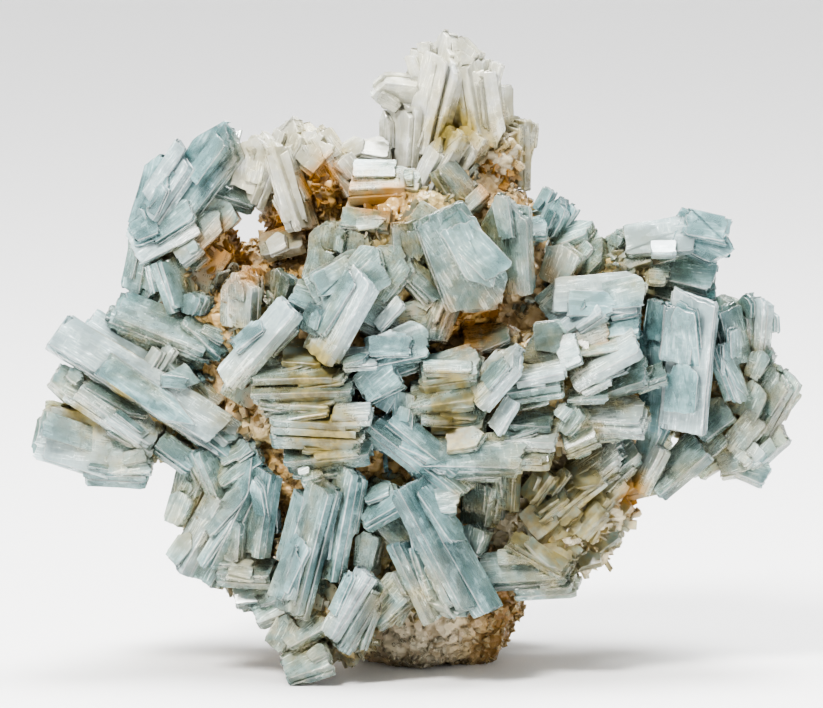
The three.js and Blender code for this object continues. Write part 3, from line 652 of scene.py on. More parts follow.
def shrunk(outline, bevel):
    """The outline moved inwards by the bevel at each corner."""
    count = len(outline)
    out = []
    for i, (x, y) in enumerate(outline):
        px, py = outline[i - 1]
        qx, qy = outline[(i + 1) % count]
        ax, ay = x - px, y - py
        bx, by = qx - x, qy - y
        la, lb = max(math.hypot(ax, ay), 1e-6), max(math.hypot(bx, by), 1e-6)
        nx, ny = -ay / la - by / lb, ax / la + bx / lb
        size = max(math.hypot(nx, ny), 0.7)
        cut = min(bevel, 0.35 * la + 0.02, 0.35 * lb + 0.02)
        out.append((x + nx / size * cut, y + ny / size * cut))
    return out


def add_plate(crystals, frame_axes, outline, low, high, bevel, tone, turn, offset):
    """One plate between two levels along the face axis, with its edges cut back all round."""
    middle, u, v, n = frame_axes
    spin, lift = turn
    inner = shrunk(outline, bevel)
    cut = min(bevel, 0.4 * (high - low))
    rings = ((inner, low), (outline, low + cut), (outline, high - cut), (inner, high))
    flat = np.array([(x, y, z) for ring, z in rings for x, y in ring])
    turned = flat.copy()
    turned[:, 0] = flat[:, 0] - spin * flat[:, 1]
    turned[:, 1] = flat[:, 1] + spin * flat[:, 0]
    turned[:, 2] = flat[:, 2] + lift * flat[:, 0]
    world = middle + turned[:, :1] * u + turned[:, 1:2] * v + turned[:, 2:] * n
    count = len(outline)
    faces = [tuple(reversed(range(count))), tuple(range(3 * count, 4 * count))]
    rims = [0.0, 0.0]
    for ring in range(3):
        for i in range(count):
            j = (i + 1) % count
            a, b = ring * count, (ring + 1) * count
            faces.append((a + i, a + j, b + j, b + i))
            rims.append(1.0 if ring != 1 else 0.5)
    local = flat.copy()
    local[:, 2] += offset
    crystals.add(world, local, tone, faces, rims)


def add_book(crystals, row, seed, rng, painted_light, layers=None):
    """A book of thin plates grown on each other, whose ends step in and out."""
    frame_axes = book_frame(row)
    corners = outline_of(row, seed)
    length, width, thickness = row[3:6]
    count = layers or int(np.clip(round(thickness / PLATE_THICKNESS), 1, MOST_PLATES))
    shares = rng.uniform(0.6, 1.4, count)
    levels = np.concatenate(([0.0], np.cumsum(shares / shares.sum()))) * thickness - thickness / 2
    full = int(rng.integers(0, count))
    for k in range(count):
        loose = 0.0 if k == full else 1.0
        scale_u = 1 - rng.uniform(0.0, PLATE_SHORTFALL) * loose
        scale_v = 1 - rng.uniform(0.0, PLATE_SHORTFALL) * loose
        room_u, room_v = (1 - scale_u) * length / 2, (1 - scale_v) * width / 2
        slide_u, slide_v = rng.uniform(-1, 1) * room_u, rng.uniform(-1, 1) * room_v
        own = [(x * scale_u + slide_u, y * scale_v + slide_v) for x, y in corners]
        own = chipped(own, rng, 0.07 * min(length, width) + 0.1)
        outline = edge_walk(own, rng, rng.uniform(0.1, 0.45) * min(1.0, length / 9))
        spin = math.radians(rng.normal(0, 0.7)) * loose
        lift = math.radians(rng.normal(0, 0.45)) * loose
        bevel = rng.uniform(0.07, 0.13)
        # The first value of the tone is the book's painted light level.
        tone = (painted_light, rng.uniform(0, 1), 0.0)
        low, high = levels[k] + PLATE_GAP / 2, levels[k + 1] - PLATE_GAP / 2
        add_plate(crystals, frame_axes, outline, low, high, bevel, tone, (spin, lift), seed * 7.3)


def sibling_rows(row, rng, number):
    """Smaller blades beside a book, nearly parallel to it, as rows of their own."""
    middle, u, v, n = book_frame(row)
    out = []
    for _ in range(number):
        length = row[3] * rng.uniform(*SIBLING_LENGTHS)
        width = max(1.0, row[4] * rng.uniform(*SIBLING_WIDTHS))
        thick = max(0.7, row[5] * rng.uniform(*SIBLING_THICKNESSES))
        side = 1 if rng.uniform() < SIBLINGS_IN_FRONT else -1
        along = rng.uniform(-0.5, 0.5) * (row[3] - length)
        over = side * (row[5] / 2 + thick / 2 - SIBLING_SINK)
        x, y, z = middle + u * along + v * rng.uniform(-0.25, 0.25) * row[4] + n * over
        place = (x + REST_X, seen_height(y, z), y + REST_Y)
        turns = (row[6] + rng.normal(0, 8), row[7] + rng.normal(0, 7))
        own_dip = dip_of(row) + rng.normal(0, 7)
        outline = SMALL_KINDS[rng.integers(0, len(SMALL_KINDS))]
        out.append((*place, length, width, thick, *turns, outline, own_dip))
    return out


def wave(way, seed):
    """Share of a lump's size in a direction, the same as in the solids."""
    return (
        1
        + 0.09 * math.sin(3.1 * way[0] + 1.7 * seed) * math.cos(2.7 * way[2] + seed)
        + 0.06 * math.sin(6.3 * way[1] + 5.1 * way[0] + 2.3 * seed)
        + 0.05 * math.cos(7.7 * way[2] - 4.3 * way[0] + 0.9 * seed)
    )


def rough(p, size, depth):
    """Noise of a few scales at a point in millimetres, about -depth to depth."""
    q = Vector(p) / size
    return depth * (noise.noise(q) + 0.5 * noise.noise(q * 2.3) + 0.28 * noise.noise(q * 5.1))


def chunk_at(p, size, seed):
    """How far a point is from the cracks between chunks, and its chunk's own level, both 0 to 1."""
    gaps, middles = noise.voronoi(Vector(p) / size + Vector((seed * 3.7, 0, 0)))
    return min(1.0, (gaps[1] - gaps[0]) * 2.6), 0.5 + 0.5 * noise.noise(middles[0] * 3.3)


def crust_point(p, way, size, seed, depth):
    """A point of a crust pushed out to its chunk's level, and its tone, whose first value darkens the cracks
    between chunks as painted shade.
    """
    clear, level = chunk_at(p, size, seed)
    small, small_level = chunk_at(p, size * 0.4, seed + 1)
    push = depth * (0.55 * level + 0.5 * clear - 0.7)
    push += 0.35 * depth * (0.5 * small_level + 0.5 * small - 0.5)
    push += rough(p, size * 2.5, depth * 0.6)
    return p + way * push, (0.35 + 0.65 * clear * (0.4 + 0.6 * small), level, small_level)


def crust_shell(middle, sizes, seed):
    """The cobbled lump under a group: its points, faces and tones."""
    bm = bmesh.new()
    bmesh.ops.create_icosphere(bm, subdivisions=5, radius=1.0)
    points, tones = [], []
    for vert in bm.verts:
        way = vert.co.normalized()
        w = wave(way, seed) * CRUST_SHARE
        p = Vector((middle[i] + way[i] * sizes[i] * w for i in range(3)))
        p, tone = crust_point(p, way, CRUST_CHUNK, seed, CRUST_DEPTH)
        points.append(p)
        tones.append(tone)
    faces = [tuple(v.index for v in f.verts) for f in bm.faces]
    bm.free()
    return points, faces, tones


OCTAHEDRON = [(1, 0, 0), (-1, 0, 0), (0, 1, 0), (0, -1, 0), (0, 0, 1), (0, 0, -1)]
OCTAHEDRON_FACES = [
    (0, 2, 4), (2, 1, 4), (1, 3, 4), (3, 0, 4), (2, 0, 5), (1, 2, 5), (3, 1, 5), (0, 3, 5),
]


def add_grains(crystals, points, normals, rng, number, sizes, painted_light):
    """Small sparkling crystals scattered over a crust."""
    shape = np.array(OCTAHEDRON, float)
    for i in rng.integers(0, len(points), number):
        size = rng.uniform(*sizes)
        axes, _ = np.linalg.qr(rng.normal(size=(3, 3)))
        if np.linalg.det(axes) < 0:
            axes[0] *= -1
        half = size * rng.uniform(0.45, 1.0, 3)
        body = (shape + rng.uniform(-0.25, 0.25, shape.shape)) * half
        middle = np.array(points[i]) + np.array(normals[i]) * size * 0.1
        # The first value of the tone is a painted light level.
        tone = (painted_light, rng.uniform(0, 1), rng.uniform(0, 1))
        crystals.add(middle + body @ axes, body, tone, OCTAHEDRON_FACES, [0.3] * len(OCTAHEDRON_FACES))


def add_small_blades(crystals, points, normals, rng, number, lengths):
    """Small blades standing on a crust at all angles."""
    for i in rng.integers(0, len(points), number):
        normal = np.array(normals[i])
        lean = normal + rng.normal(0, 0.6, 3)
        u = lean / np.linalg.norm(lean)
        v = np.cross(u, rng.normal(size=3))
        v /= np.linalg.norm(v)
        length = rng.uniform(*lengths)
        width, thick = length * rng.uniform(0.3, 0.7), length * rng.uniform(0.1, 0.22)
        corners = OUTLINES[SMALL_KINDS[rng.integers(0, len(SMALL_KINDS))]]
        outline = []
        for a, b in corners:
            outline.append((a * length * rng.uniform(0.85, 1), b * width * rng.uniform(0.8, 1)))
        axes = (np.array(points[i]) + u * length * 0.2, u, v, np.cross(u, v))
        # The first value of the tone is a random painted light level.
        tone = (rng.uniform(0, 0.6), rng.uniform(0, 1), 1.0)
        add_plate(crystals, axes, outline, -thick / 2, thick / 2, 0.05, tone, (0, 0), i * 0.37)


def look_at_points(world, lumps):
    """Cream, yellow and rust at each point, from the stains, and from the nearness of a crust, which stands
    for stain and for painted shade deep among the plates.
    """
    seen = seen_height(world[:, 1], world[:, 2])
    across = world[:, 0] + REST_X
    out = np.zeros((len(world), 3))
    for x, up, radius, cream, yellow, rust in STAINS:
        d = np.hypot(across - x, seen - up) / radius
        fall = np.clip(1.35 - d, 0, 1)
        fall = fall * fall * (3 - 2 * fall)
        out = np.maximum(out, fall[:, None] * np.array((cream, yellow, rust)))
    crust_shade_and_stain = np.zeros(len(world))
    for middle, sizes in lumps:
        d = np.linalg.norm((world - np.array(middle)) / np.array(sizes), axis=1)
        crust_shade_and_stain = np.maximum(crust_shade_and_stain, np.clip((1.6 - d) / 0.6, 0, 1))
    # Near a crust, yellow and rust are partly stain and partly painted shade deep between the plates.
    out[:, 1] = np.maximum(out[:, 1], 0.62 * crust_shade_and_stain)
    out[:, 2] = np.maximum(out[:, 2] * (0.35 + 0.65 * crust_shade_and_stain), 0.25 * crust_shade_and_stain)
    return out


def write_mesh(name, crystals, shells, lumps, materials):
    """One mesh of all the crystals (first material) and the lumps (second material)."""
    world = np.vstack(crystals.points)
    place = np.vstack(crystals.local)
    tone = np.vstack(crystals.tones)
    faces = list(crystals.faces)
    rims = list(crystals.rims)
    index = [0] * len(faces)
    for points, shell_faces, shell_tones in shells:
        base = len(world)
        pts = np.array([tuple(p) for p in points])
        world = np.vstack((world, pts))
        place = np.vstack((place, pts))
        tone = np.vstack((tone, np.array(shell_tones)))
        faces.extend(tuple(base + c for c in f) for f in shell_faces)
        rims.extend([0.0] * len(shell_faces))
        index.extend([1] * len(shell_faces))
    world[:, 1] = np.minimum(world[:, 1], BACK_REACH)
    world[:, 2] = np.maximum(world[:, 2], 0.0)
    mesh = bpy.data.meshes.new(name)
    mesh.from_pydata((world * MM).tolist(), [], faces)
    for material in materials:
        mesh.materials.append(material)
    mesh.polygons.foreach_set("material_index", index)
    look = look_at_points(world, lumps)
    for key, values in (("look", look), ("grain", place), ("tone", tone)):
        made = mesh.attributes.new(key, "FLOAT_VECTOR", "POINT")
        made.data.foreach_set("vector", values.astype(np.float32).ravel())
    made = mesh.attributes.new("rim", "FLOAT", "FACE")
    made.data.foreach_set("value", np.array(rims, np.float32))
    mesh.polygons.foreach_set("use_smooth", np.array(index) == 1)
    mesh.update()
    piece = bpy.data.objects.new(name, mesh)
    bpy.context.collection.objects.link(piece)
    return piece


class Nodes:
    """Short calls for building one material's nodes."""

    def __init__(self, name):
        self.material = bpy.data.materials.new(name)
        self.material.use_nodes = True
        self.tree = self.material.node_tree
        self.shader = self.tree.nodes["Principled BSDF"]
        self.place = self.make("ShaderNodeTexCoord").outputs["Object"]

    def give(self, socket, value):
        """Set an input to a number, vector or colour, or link another node's output to it."""
        if isinstance(value, bpy.types.NodeSocket):
            self.tree.links.new(value, socket)
        elif socket.type == "RGBA":
            socket.default_value = (*value, 1.0)
        else:
            socket.default_value = value

    def make(self, kind, inputs=None, **settings):
        """A node with its settings and then its inputs."""
        node = self.tree.nodes.new(kind)
        for key, value in settings.items():
            setattr(node, key, value)
        for key, value in (inputs or {}).items():
            self.give(node.inputs[key], value)
        return node

    def surface(self, inputs):
        """Give the shader its inputs, and return the finished material."""
        for key, value in inputs.items():
            self.give(self.shader.inputs[key], value)
        return self.material

    def attribute(self, name):
        return self.make("ShaderNodeAttribute", attribute_name=name).outputs

    def parts(self, vector):
        """The three values of a vector."""
        return self.make("ShaderNodeSeparateXYZ", {0: vector}).outputs

    def math(self, what, a, b, clamp=False):
        return self.make("ShaderNodeMath", {0: a, 1: b}, operation=what, use_clamp=clamp).outputs[0]

    def plus(self, a, b, clamp=False):
        return self.math("ADD", a, b, clamp)

    def times(self, a, b, clamp=False):
        return self.math("MULTIPLY", a, b, clamp)

    def noise(self, vector, scale, detail, rough):
        inputs = {"Vector": vector, "Scale": scale, "Detail": detail, "Roughness": rough}
        return self.make("ShaderNodeTexNoise", inputs).outputs["Fac"]

    def cells(self, vector, scale, distance):
        """Voronoi cells: an even value for each cell, and the distance from its middle."""
        node = self.make("ShaderNodeTexVoronoi", {"Vector": vector, "Scale": scale}, distance=distance)
        return self.parts(node.outputs["Color"])[0], node.outputs["Distance"]

    def stretch(self, vector, scale):
        return self.make("ShaderNodeMapping", {"Vector": vector, "Scale": scale}).outputs[0]

    def ramp(self, value, low, high):
        """0 up to the low value, 1 from the high one, and smooth between."""
        inputs = {"Value": value, "From Min": low, "From Max": high}
        node = self.make("ShaderNodeMapRange", inputs, interpolation_type="SMOOTHSTEP")
        return node.outputs["Result"]

    def mix(self, factor, a, b):
        return self.make("ShaderNodeMix", {0: factor, 6: a, 7: b}, data_type="RGBA").outputs[2]

    def bump(self, height, distance, strength, after=None):
        node = self.make("ShaderNodeBump", {"Height": height, "Distance": distance, "Strength": strength})
        if after is not None:
            self.give(node.inputs["Normal"], after)
        return node.outputs[0]


# Colours laid over the bodies of the crystals and the crusts, among them painted highlights and painted
# shade, and how far each bends light.
VEIL_WHITE = (0.78, 0.90, 0.92)
LIT_BOOK_HIGHLIGHT = (0.90, 0.93, 0.94)
RIM_HIGHLIGHT = (0.95, 0.96, 0.96)
CREAM = (0.88, 0.85, 0.66)
CRUST_CREAM = (0.80, 0.73, 0.56)
YELLOW_STAIN_AND_SHADE = (0.68, 0.58, 0.24)
OLIVE_STAINS_AND_SHADE = ((0.34, 0.27, 0.08), (0.62, 0.50, 0.16))
BARITE_RUST = (0.60, 0.29, 0.05)
RUST = (0.60, 0.32, 0.07)
GRAIN_RUST = (0.68, 0.37, 0.07)
BARITE_IOR = 1.64
CRUST_IOR = 1.55


def barite_veils(nodes, painted_light_of_book, cloud, grain, block):
    """How white the streaks along and across a plate are, 0 to 1, stronger on books with more painted light.
    """
    along = nodes.noise(nodes.stretch(grain, (0.3, 2.6, 1.5)), 1.0, 5, 0.75)
    cross = nodes.noise(nodes.stretch(grain, (2.6, 0.5, 1.7)), 1.0, 5, 0.75)
    across = nodes.times(nodes.ramp(cross, 0.46, 0.74), 0.7)
    feather = nodes.math("MAXIMUM", nodes.ramp(along, 0.44, 0.7), across)
    reach = nodes.plus(nodes.ramp(cloud, 0.36, 0.6), nodes.times(nodes.ramp(block, 0.6, 1.0), 0.4))
    gain = nodes.plus(nodes.times(painted_light_of_book, 0.4), 0.45)
    return nodes.times(nodes.times(feather, reach), gain, clamp=True)


def stained(nodes, colour, look, crusted, cloud, veil, layers):
    """The plates' colour with the yellow, olive and rust stains over it, which near the crusts are also
    painted shade.
    """
    patch = nodes.noise(nodes.place, 700, 2, 0.6)
    # Yellow from stain, and from painted shade near the crusts.
    colour = nodes.mix(nodes.times(look[1], 0.5), colour, YELLOW_STAIN_AND_SHADE)
    yellow = nodes.plus(veil, nodes.times(look[1], 0.34))
    yellow = nodes.plus(yellow, nodes.times(layers, 0.3))
    yellow = nodes.times(look[1], nodes.ramp(yellow, 0.7, 1.0))
    olive = nodes.mix(nodes.ramp(patch, 0.4, 0.62), *OLIVE_STAINS_AND_SHADE)
    colour = nodes.mix(nodes.times(yellow, 1.15, clamp=True), colour, olive)
    rust = nodes.plus(cloud, nodes.times(look[2], 0.35))
    rust = nodes.plus(rust, nodes.times(crusted, 0.25))
    rust = nodes.times(look[2], nodes.ramp(rust, 0.56, 0.84))
    return nodes.mix(rust, colour, BARITE_RUST)


def barite_material(name, body, shade_and_seam, cream_shift, clearest):
    """Clear plates, lit and shaded by each book's painted light level, with feathery white veils, painted
    highlights on the rims, and stains and painted shade near the crusts.
    """
    nodes = Nodes(name)
    look = nodes.parts(nodes.attribute("look")["Vector"])
    tone = nodes.parts(nodes.attribute("tone")["Vector"])
    grain = nodes.attribute("grain")["Vector"]
    rim = nodes.attribute("rim")["Fac"]
    cloud = nodes.noise(nodes.place, 240, 3, 0.6)
    veil = nodes.noise(nodes.place, 420, 4, 0.65)
    block, _ = nodes.cells(nodes.stretch(grain, (0.42, 1.0, 0.8)), 1.0, "CHEBYCHEV")
    layers = nodes.noise(nodes.stretch(grain, (0.1, 0.4, 8.0)), 1.0, 3, 0.6)
    # Painted light mixed with random tone: lit plates take the body colour, shaded ones the painted shade
    # colour.
    light = nodes.plus(nodes.times(tone[0], 0.5), nodes.times(tone[1], 0.35))
    light = nodes.plus(light, nodes.times(nodes.ramp(cloud, 0.36, 0.64), 0.35))
    light = nodes.plus(light, nodes.times(block, 0.2), clamp=True)
    colour = nodes.mix(light, shade_and_seam, body)
    feather = barite_veils(nodes, tone[0], cloud, grain, block)
    colour = nodes.mix(feather, colour, VEIL_WHITE)
    # Painted highlight: the books painted as lit turn whiter.
    colour = nodes.mix(nodes.times(nodes.ramp(tone[0], 0.55, 1.0), 0.4), colour, LIT_BOOK_HIGHLIGHT)
    lines = nodes.times(nodes.ramp(layers, 0.42, 0.6), nodes.times(rim, 0.3))
    # Dark seams between the layers on the rims, in the painted shade colour.
    colour = nodes.mix(lines, colour, shade_and_seam)
    # Painted highlight along the rims of every plate.
    colour = nodes.mix(nodes.times(nodes.ramp(rim, 0.5, 1.0), 0.75), colour, RIM_HIGHLIGHT)
    creamy = nodes.plus(nodes.times(look[0], 0.85), cream_shift, clamp=True)
    creamy = nodes.times(creamy, nodes.ramp(veil, 0.3, 0.55))
    colour = nodes.mix(nodes.times(creamy, 0.85), colour, CREAM)
    colour = stained(nodes, colour, look, tone[2], cloud, veil, layers)
    rough_level = nodes.plus(nodes.plus(nodes.times(feather, 0.2), 0.15), nodes.times(look[1], 0.2))
    clear = nodes.math("SUBTRACT", clearest, nodes.times(light, 0.34))
    clear = nodes.math("SUBTRACT", clear, nodes.times(feather, 0.38), clamp=True)
    swell = nodes.noise(nodes.stretch(grain, (0.15, 0.5, 0.5)), 1.0, 1, 0.5)
    relief = nodes.bump(layers, 0.00006, 0.35, nodes.bump(swell, 0.0004, 0.25))
    return nodes.surface(
        {
            "Base Color": colour,
            "Roughness": rough_level,
            "Transmission Weight": clear,
            "Normal": relief,
            "IOR": BARITE_IOR,
        }
    )


def crust_material(name, colours, rust_colour, low_rust, clear):
    """Granular crust: glassy grains, brown stain, and painted shade in the hollows."""
    nodes = Nodes(name)
    look = nodes.parts(nodes.attribute("look")["Vector"])
    tone = nodes.parts(nodes.attribute("tone")["Vector"])
    cell_tone, cell_distance = nodes.cells(nodes.place, 1100, "EUCLIDEAN")
    patch = nodes.noise(nodes.place, 120, 4, 0.65)
    veil = nodes.noise(nodes.place, 420, 4, 0.65)
    pale, mid, dark_and_shade = colours
    colour = nodes.mix(nodes.ramp(patch, 0.38, 0.64), mid, pale)
    colour = nodes.mix(nodes.times(nodes.ramp(cell_tone, 0.5, 1.0), 0.5), colour, pale)
    colour = nodes.mix(nodes.ramp(veil, 0.5, 0.68), colour, dark_and_shade)
    rust = nodes.plus(nodes.times(look[2], 0.9), low_rust, clamp=True)
    reach = nodes.plus(patch, nodes.times(look[2], 0.25))
    colour = nodes.mix(nodes.times(rust, nodes.ramp(reach, 0.45, 0.7)), colour, rust_colour)
    colour = nodes.mix(nodes.times(tone[1], 0.35), colour, pale)
    colour = nodes.mix(nodes.times(look[0], 0.85), colour, CRUST_CREAM)
    # Painted shade: the cracks between chunks turn to the dark colour.
    colour = nodes.mix(nodes.ramp(tone[0], 0.0, 0.66), dark_and_shade, colour)
    relief = nodes.bump(veil, 0.0006, 0.5, nodes.bump(cell_distance, 0.0004, 0.8))
    return nodes.surface(
        {
            "Base Color": colour,
            "Roughness": nodes.plus(nodes.times(veil, 0.4), 0.05),
            "Transmission Weight": clear,
            "Normal": relief,
            "IOR": CRUST_IOR,
        }
    )


BLUE_LOOK = barite_material(
    "barite pale blue", body=(0.45, 0.72, 0.74), shade_and_seam=(0.16, 0.33, 0.33), cream_shift=0.0, clearest=0.89
)
CREAM_LOOK = barite_material(
    "barite white to cream", body=(0.94, 0.96, 0.92), shade_and_seam=(0.46, 0.49, 0.36), cream_shift=0.2, clearest=0.80
)
CRUST_LOOK = crust_material(
    "stained barite crust",
    colours=((0.60, 0.52, 0.28), (0.42, 0.32, 0.12), (0.20, 0.12, 0.035)),
    rust_colour=RUST,
    low_rust=0.1,
    clear=0.2,
)
MATRIX_LOOK = crust_material(
    "iron-stained matrix",
    colours=((0.82, 0.60, 0.31), (0.62, 0.40, 0.15), (0.30, 0.16, 0.045)),
    rust_colour=RUST,
    low_rust=0.1,
    clear=0.2,
)
GRAIN_LOOK = crust_material(
    "matrix grains",
    colours=((0.82, 0.63, 0.34), (0.62, 0.41, 0.15), (0.30, 0.16, 0.04)),
    rust_colour=GRAIN_RUST,
    low_rust=0.2,
    clear=0.5,
)


# Books painted as lit, as bright white bars and faces, by the place across and up of each.
PAINTED_LIT_BOOKS = {
    (-9, 46), (-19.5, 42.5), (10.3, 38.8), (-36.5, 32.2), (-34, 37.5), (-37.5, 33.8), (-6.9, 40.7),
    (-8, 33.8), (15.6, 39.3), (23.3, 40.5), (22.5, 37.8), (14.3, 31), (-27, 18.8), (-8.5, 10.2),
    (11, 33.6), (7.5, 60.5), (-22, 48), (21.5, 46), (19.5, 45.3), (28.8, 27.3), (-33, 40.3),
    (-31.4, 40.7), (31, 54.3), (42.4, 28.5), (-28.3, 54), (-30.7, 62), (2.6, 74), (0.6, 72.5),
    (-13.6, 67.5), (-10.5, 66), (43, 45.2), (-3.3, 46.2), (-4.5, 62.4), (20, 24), (22, 26.5),
    (34, 40), (-33, 40), (30.8, 55.3), (24, 33.5), (-31, 56.5), (23, 48.3), (-42, 30), (-20.3, 65),
    (-12.9, 66.3), (8.2, 72), (1.3, 72.6), (-0.2, 77.2), (1.3, 78.8), (9.8, 76), (-31.4, 64.2),
}

# Books that stay clear, painted as shaded grey.
PAINTED_SHADED_CLEAR_BOOKS = {
    (-22.6, 61.3), (0.5, 50), (2, 48), (-2, 42), (-17.3, 48.5), (3.8, 47), (13.5, 33), (-13.5, 17),
    (5, 62), (-16.5, 55), (-12.5, 45.5), (42, 40), (37.3, 33), (16.5, 41.8), (25, 38), (14, 14.3),
    (-5.8, 16.8), (11.5, 55.2),
}

# How much painted light the other books take.
USUAL_CREAM = 0.7
USUAL_BLUE = 0.45

# Seeds of the books that the solids leave out.
OTHER_SEEDS = (300, 9000)


def painted_light_of(row, usual):
    """How much painted light falls on a book, 0 to 1."""
    if (row[0], row[1]) in PAINTED_LIT_BOOKS:
        return 1.0
    return 0.0 if (row[0], row[1]) in PAINTED_SHADED_CLEAR_BOOKS else usual


def add_siblings(crystals, row, rng, number, layers):
    """The smaller blades beside a book, each with a painted light level of its own."""
    for sibling in sibling_rows(row, rng, number):
        seed = int(rng.integers(*OTHER_SEEDS))
        add_book(crystals, sibling, seed, rng, rng.uniform(0.1, 0.7), layers=layers)


def group_crystals(name, first_seed, rng):
    """All the books of a group, with the smaller blades beside them."""
    crystals = Crystals()
    usual = USUAL_CREAM if name in CREAM_GROUPS else USUAL_BLUE
    for i, row in enumerate(BOOKS[name]):
        add_book(crystals, row, first_seed + i, rng, painted_light_of(row, usual))
        add_siblings(crystals, row, rng, 3 if row[3] > LONG_BOOK else 2, layers=2)
    for row in SMALL_BOOKS.get(name, []):
        layers = 2 if row[5] < THIN_BOOK else None
        seed = int(rng.integers(*OTHER_SEEDS))
        add_book(crystals, row, seed, rng, painted_light_of(row, usual), layers=layers)
        add_siblings(crystals, row, rng, 1, layers=1)
    return crystals


def group_piece(name, first_seed):
    """One group of blades with its crust, in place of the solid of that name."""
    rng = np.random.default_rng(100 + first_seed)
    crystals = group_crystals(name, first_seed, rng)
    shells, lumps = [], []
    for across, up, depth, half_x, half_z, half_y in CRUSTS[name]:
        middle = world_place(across, up, depth)
        sizes = (half_x, half_y, half_z)
        shell = crust_shell(middle, sizes, across + up)
        shells.append(shell)
        lumps.append((middle, sizes))
        points = shell[0]
        normals = [(p - Vector(middle)).normalized() for p in points]
        add_grains(crystals, points, normals, rng, CRUST_GRAINS, CRUST_GRAIN_SIZES, 0.4)
        add_small_blades(crystals, points, normals, rng, CRUST_BLADES, CRUST_BLADE_LENGTHS)
    material = CREAM_LOOK if name in CREAM_GROUPS else BLUE_LOOK
    piece = write_mesh(name + "_crystals", crystals, shells, lumps, (material, CRUST_LOOK))
    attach(piece, "root")
    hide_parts(name)


def matrix_skin():
    """Points, normals and faces of one skin over the matrix lumps."""
    bm = bmesh.new()
    for i, (x, y, z, a, b, c) in enumerate(MATRIX_LUMPS):
        start = len(bm.verts)
        bmesh.ops.create_icosphere(bm, subdivisions=5, radius=1.0)
        bm.verts.ensure_lookup_table()
        for vert in bm.verts[start:]:
            way = vert.co.normalized()
            w = wave(way, i + 1)
            middle = (x - REST_X, y - REST_Y, z)
            vert.co = Vector((middle[0] + way.x * a * w, middle[1] + way.y * b * w, z + way.z * c * w))
    mesh = bpy.data.meshes.new("matrix lumps")
    bm.to_mesh(mesh)
    bm.free()
    body = bpy.data.objects.new("matrix lumps", mesh)
    bpy.context.collection.objects.link(body)
    skin = body.modifiers.new("skin", "REMESH")
    skin.mode = "VOXEL"
    skin.voxel_size = MATRIX_VOXEL
    graph = bpy.context.evaluated_depsgraph_get()
    made = body.evaluated_get(graph).to_mesh()
    points = [v.co.copy() for v in made.vertices]
    normals = [v.normal.copy() for v in made.vertices]
    faces = [tuple(p.vertices) for p in made.polygons]
    body.evaluated_get(graph).to_mesh_clear()
    bpy.data.objects.remove(body)
    return points, normals, faces


def matrix_surface(points, normals):
    """The skin made cobbled, drawn in at the foot, and darker at the foot's right with painted shade."""
    shaped, tones = [], []
    for p, n in zip(points, normals):
        q, tone = crust_point(p - n * 0.4, n, MATRIX_CHUNK, 5, MATRIX_DEPTH)
        # Painted shade low at the foot's right, darkening the tone.
        to_right = min(1.0, max(0.0, (q.x - 4) / 5))
        foot_shade = to_right * min(1.0, max(0.0, (16 - seen_height(q.y, q.z)) / 4))
        tuck = 1 - 0.05 * max(0.0, 3.2 - q.z) ** 1.3
        q.x = FOOT[0] + (q.x - FOOT[0]) * tuck
        q.y = FOOT[1] + (q.y - FOOT[1]) * tuck
        shaped.append(q)
        tones.append((tone[0] * (1 - 0.75 * foot_shade), tone[1], tone[2]))
    return shaped, tones


def matrix_piece():
    """The matrix as one skin over its lumps, with a flat foot and sparkling grains."""
    points, normals, faces = matrix_skin()
    shaped, tones = matrix_surface(points, normals)
    rng = np.random.default_rng(77)
    grains = Crystals()
    add_grains(grains, shaped, normals, rng, MATRIX_GRAINS, MATRIX_GRAIN_SIZES, 0.8)
    piece = write_mesh("matrix_rock", grains, [(shaped, faces, tones)], [], (GRAIN_LOOK, MATRIX_LOOK))
    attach(piece, "root")
    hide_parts("matrix")
    blades = Crystals()
    for i in rng.integers(0, len(shaped), MATRIX_BLADE_TRIES):
        p, n = shaped[i], normals[i]
        patch = noise.noise(p / 9.0 + Vector((3, 1, 8)))
        if patch < 0.02 or n.z < -0.5 or p.z < BARE_BELOW:
            continue
        add_small_blades(blades, [p], [n], rng, 1, (1.0 + 2 * patch, 2.2 + 4.5 * patch))
    piece = write_mesh("matrix_blades", blades, [], [], (BLUE_LOOK,))
    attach(piece, "root")
    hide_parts("matrix")


matrix_piece()
next_seed = 2
for group in BOOKS:
    group_piece(group, next_seed)
    next_seed += len(BOOKS[group])


# The floor in metres: a round plain that rises in a curve to a wall outside every camera.
FLOOR_INNER = 0.4
FLOOR_RADIUS = 1.5
FLOOR_CURVE = 0.5
FLOOR_CURVE_STEPS = 12
WALL_TOP = 2.6
FLOOR_AROUND = 96

# Each lamp's name, place, target, size, power and colour.
MID = (0.0, -0.004, 0.04)
LAMPS = [
    ("key", (-0.26, -0.34, 0.50), MID, 0.17, 5.0, (1.0, 0.98, 0.95)),
    ("fill", (0.50, -0.50, 0.22), MID, 0.30, 0.6, (0.93, 0.97, 1.0)),
    ("top", (0.05, 0.10, 0.55), MID, 0.30, 2.8, (1.0, 1.0, 1.0)),
    ("overhead", (0.0, 0.0, 2.3), (0.0, 0.0, 0.0), 1.6, 38.0, (1.0, 1.0, 1.0)),
]
WORLD_COLOUR = (0.92, 0.93, 0.93, 1)
WORLD_STRENGTH = 0.10


def floor_material():
    """Pale matt floor with a faint speckle."""
    nodes = Nodes("pale floor")
    speck = nodes.noise(nodes.place, 900, 3, 0.5)
    colour = nodes.mix(speck, (0.88, 0.88, 0.88), (0.91, 0.91, 0.91))
    return nodes.surface({"Base Color": colour, "Roughness": 0.6})


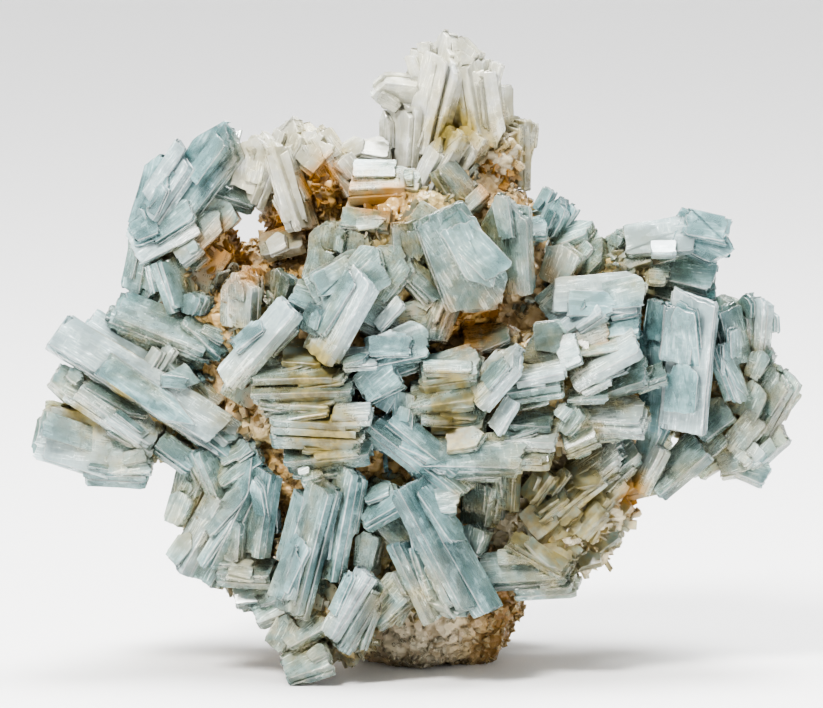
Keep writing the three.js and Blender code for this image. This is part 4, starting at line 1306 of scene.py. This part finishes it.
def floor_profile():
    """Radius and height of the floor from near the middle to the top of the wall."""
    profile = [(FLOOR_INNER, 0.0), (FLOOR_RADIUS, 0.0)]
    for i in range(1, FLOOR_CURVE_STEPS + 1):
        a = math.radians(90 * i / FLOOR_CURVE_STEPS)
        out, up = FLOOR_CURVE * math.sin(a), FLOOR_CURVE - FLOOR_CURVE * math.cos(a)
        profile.append((FLOOR_RADIUS + out, up))
    profile.append((FLOOR_RADIUS + FLOOR_CURVE, WALL_TOP))
    return profile


def make_floor():
    """The floor and its round wall, so that all sides have the same ground."""
    profile = floor_profile()
    verts = [(0.0, 0.0, 0.0)]
    for r, z in profile:
        for i in range(FLOOR_AROUND):
            turn = 2 * math.pi * i / FLOOR_AROUND
            verts.append((r * math.cos(turn), r * math.sin(turn), z))
    faces = [(0, 1 + i, 1 + (i + 1) % FLOOR_AROUND) for i in range(FLOOR_AROUND)]
    for ring in range(len(profile) - 1):
        low, high = 1 + ring * FLOOR_AROUND, 1 + (ring + 1) * FLOOR_AROUND
        for i in range(FLOOR_AROUND):
            j = (i + 1) % FLOOR_AROUND
            faces.append((low + i, high + i, high + j, low + j))
    mesh = bpy.data.meshes.new("floor")
    mesh.from_pydata(verts, [], faces)
    mesh.polygons.foreach_set("use_smooth", [True] * len(mesh.polygons))
    mesh.materials.append(floor_material())
    floor = bpy.data.objects.new("floor", mesh)
    bpy.context.collection.objects.link(floor)


def area_light(name, place, target, size, power, colour):
    """A round soft lamp that points at a target."""
    data = bpy.data.lights.new(name, "AREA")
    data.shape = "DISK"
    data.size = size
    data.energy = power
    data.color = colour
    lamp = bpy.data.objects.new(name, data)
    lamp.location = place
    lamp.rotation_euler = (Vector(target) - Vector(place)).to_track_quat("-Z", "Y").to_euler()
    bpy.context.collection.objects.link(lamp)


def make_world():
    """A weak pale world that fills the shadows a little."""
    world = bpy.data.worlds.new("studio")
    world.use_nodes = True
    background = world.node_tree.nodes["Background"]
    background.inputs["Color"].default_value = WORLD_COLOUR
    background.inputs["Strength"].default_value = WORLD_STRENGTH
    bpy.context.scene.world = world


def set_look():
    """View look, and few enough bounces for a render of under five minutes."""
    scene = bpy.context.scene
    scene.view_settings.look = "AgX - High Contrast"
    scene.cycles.max_bounces = 8
    scene.cycles.diffuse_bounces = 3
    scene.cycles.glossy_bounces = 3
    scene.cycles.transmission_bounces = 8
    scene.cycles.caustics_reflective = False
    scene.cycles.caustics_refractive = False


def make_camera():
    """The camera at the photo's angle, far off with a long lens."""
    aim = Vector(world_place(*FRAME_MID)) * MM
    lens = bpy.data.cameras.new("camera")
    lens.sensor_width = SENSOR
    lens.lens = SENSOR * CAMERA_REACH / FRAME_WIDTH
    lens.clip_start = 0.05
    lens.clip_end = 20
    camera = bpy.data.objects.new("camera", lens)
    camera.location = aim + Vector((0, -math.cos(LOOK_DOWN), math.sin(LOOK_DOWN))) * CAMERA_REACH * MM
    camera.rotation_euler = (aim - camera.location).to_track_quat("-Z", "Y").to_euler()
    bpy.context.collection.objects.link(camera)
    bpy.context.scene.camera = camera


make_floor()
for lamp in LAMPS:
    area_light(*lamp)
make_world()
set_look()
make_camera()
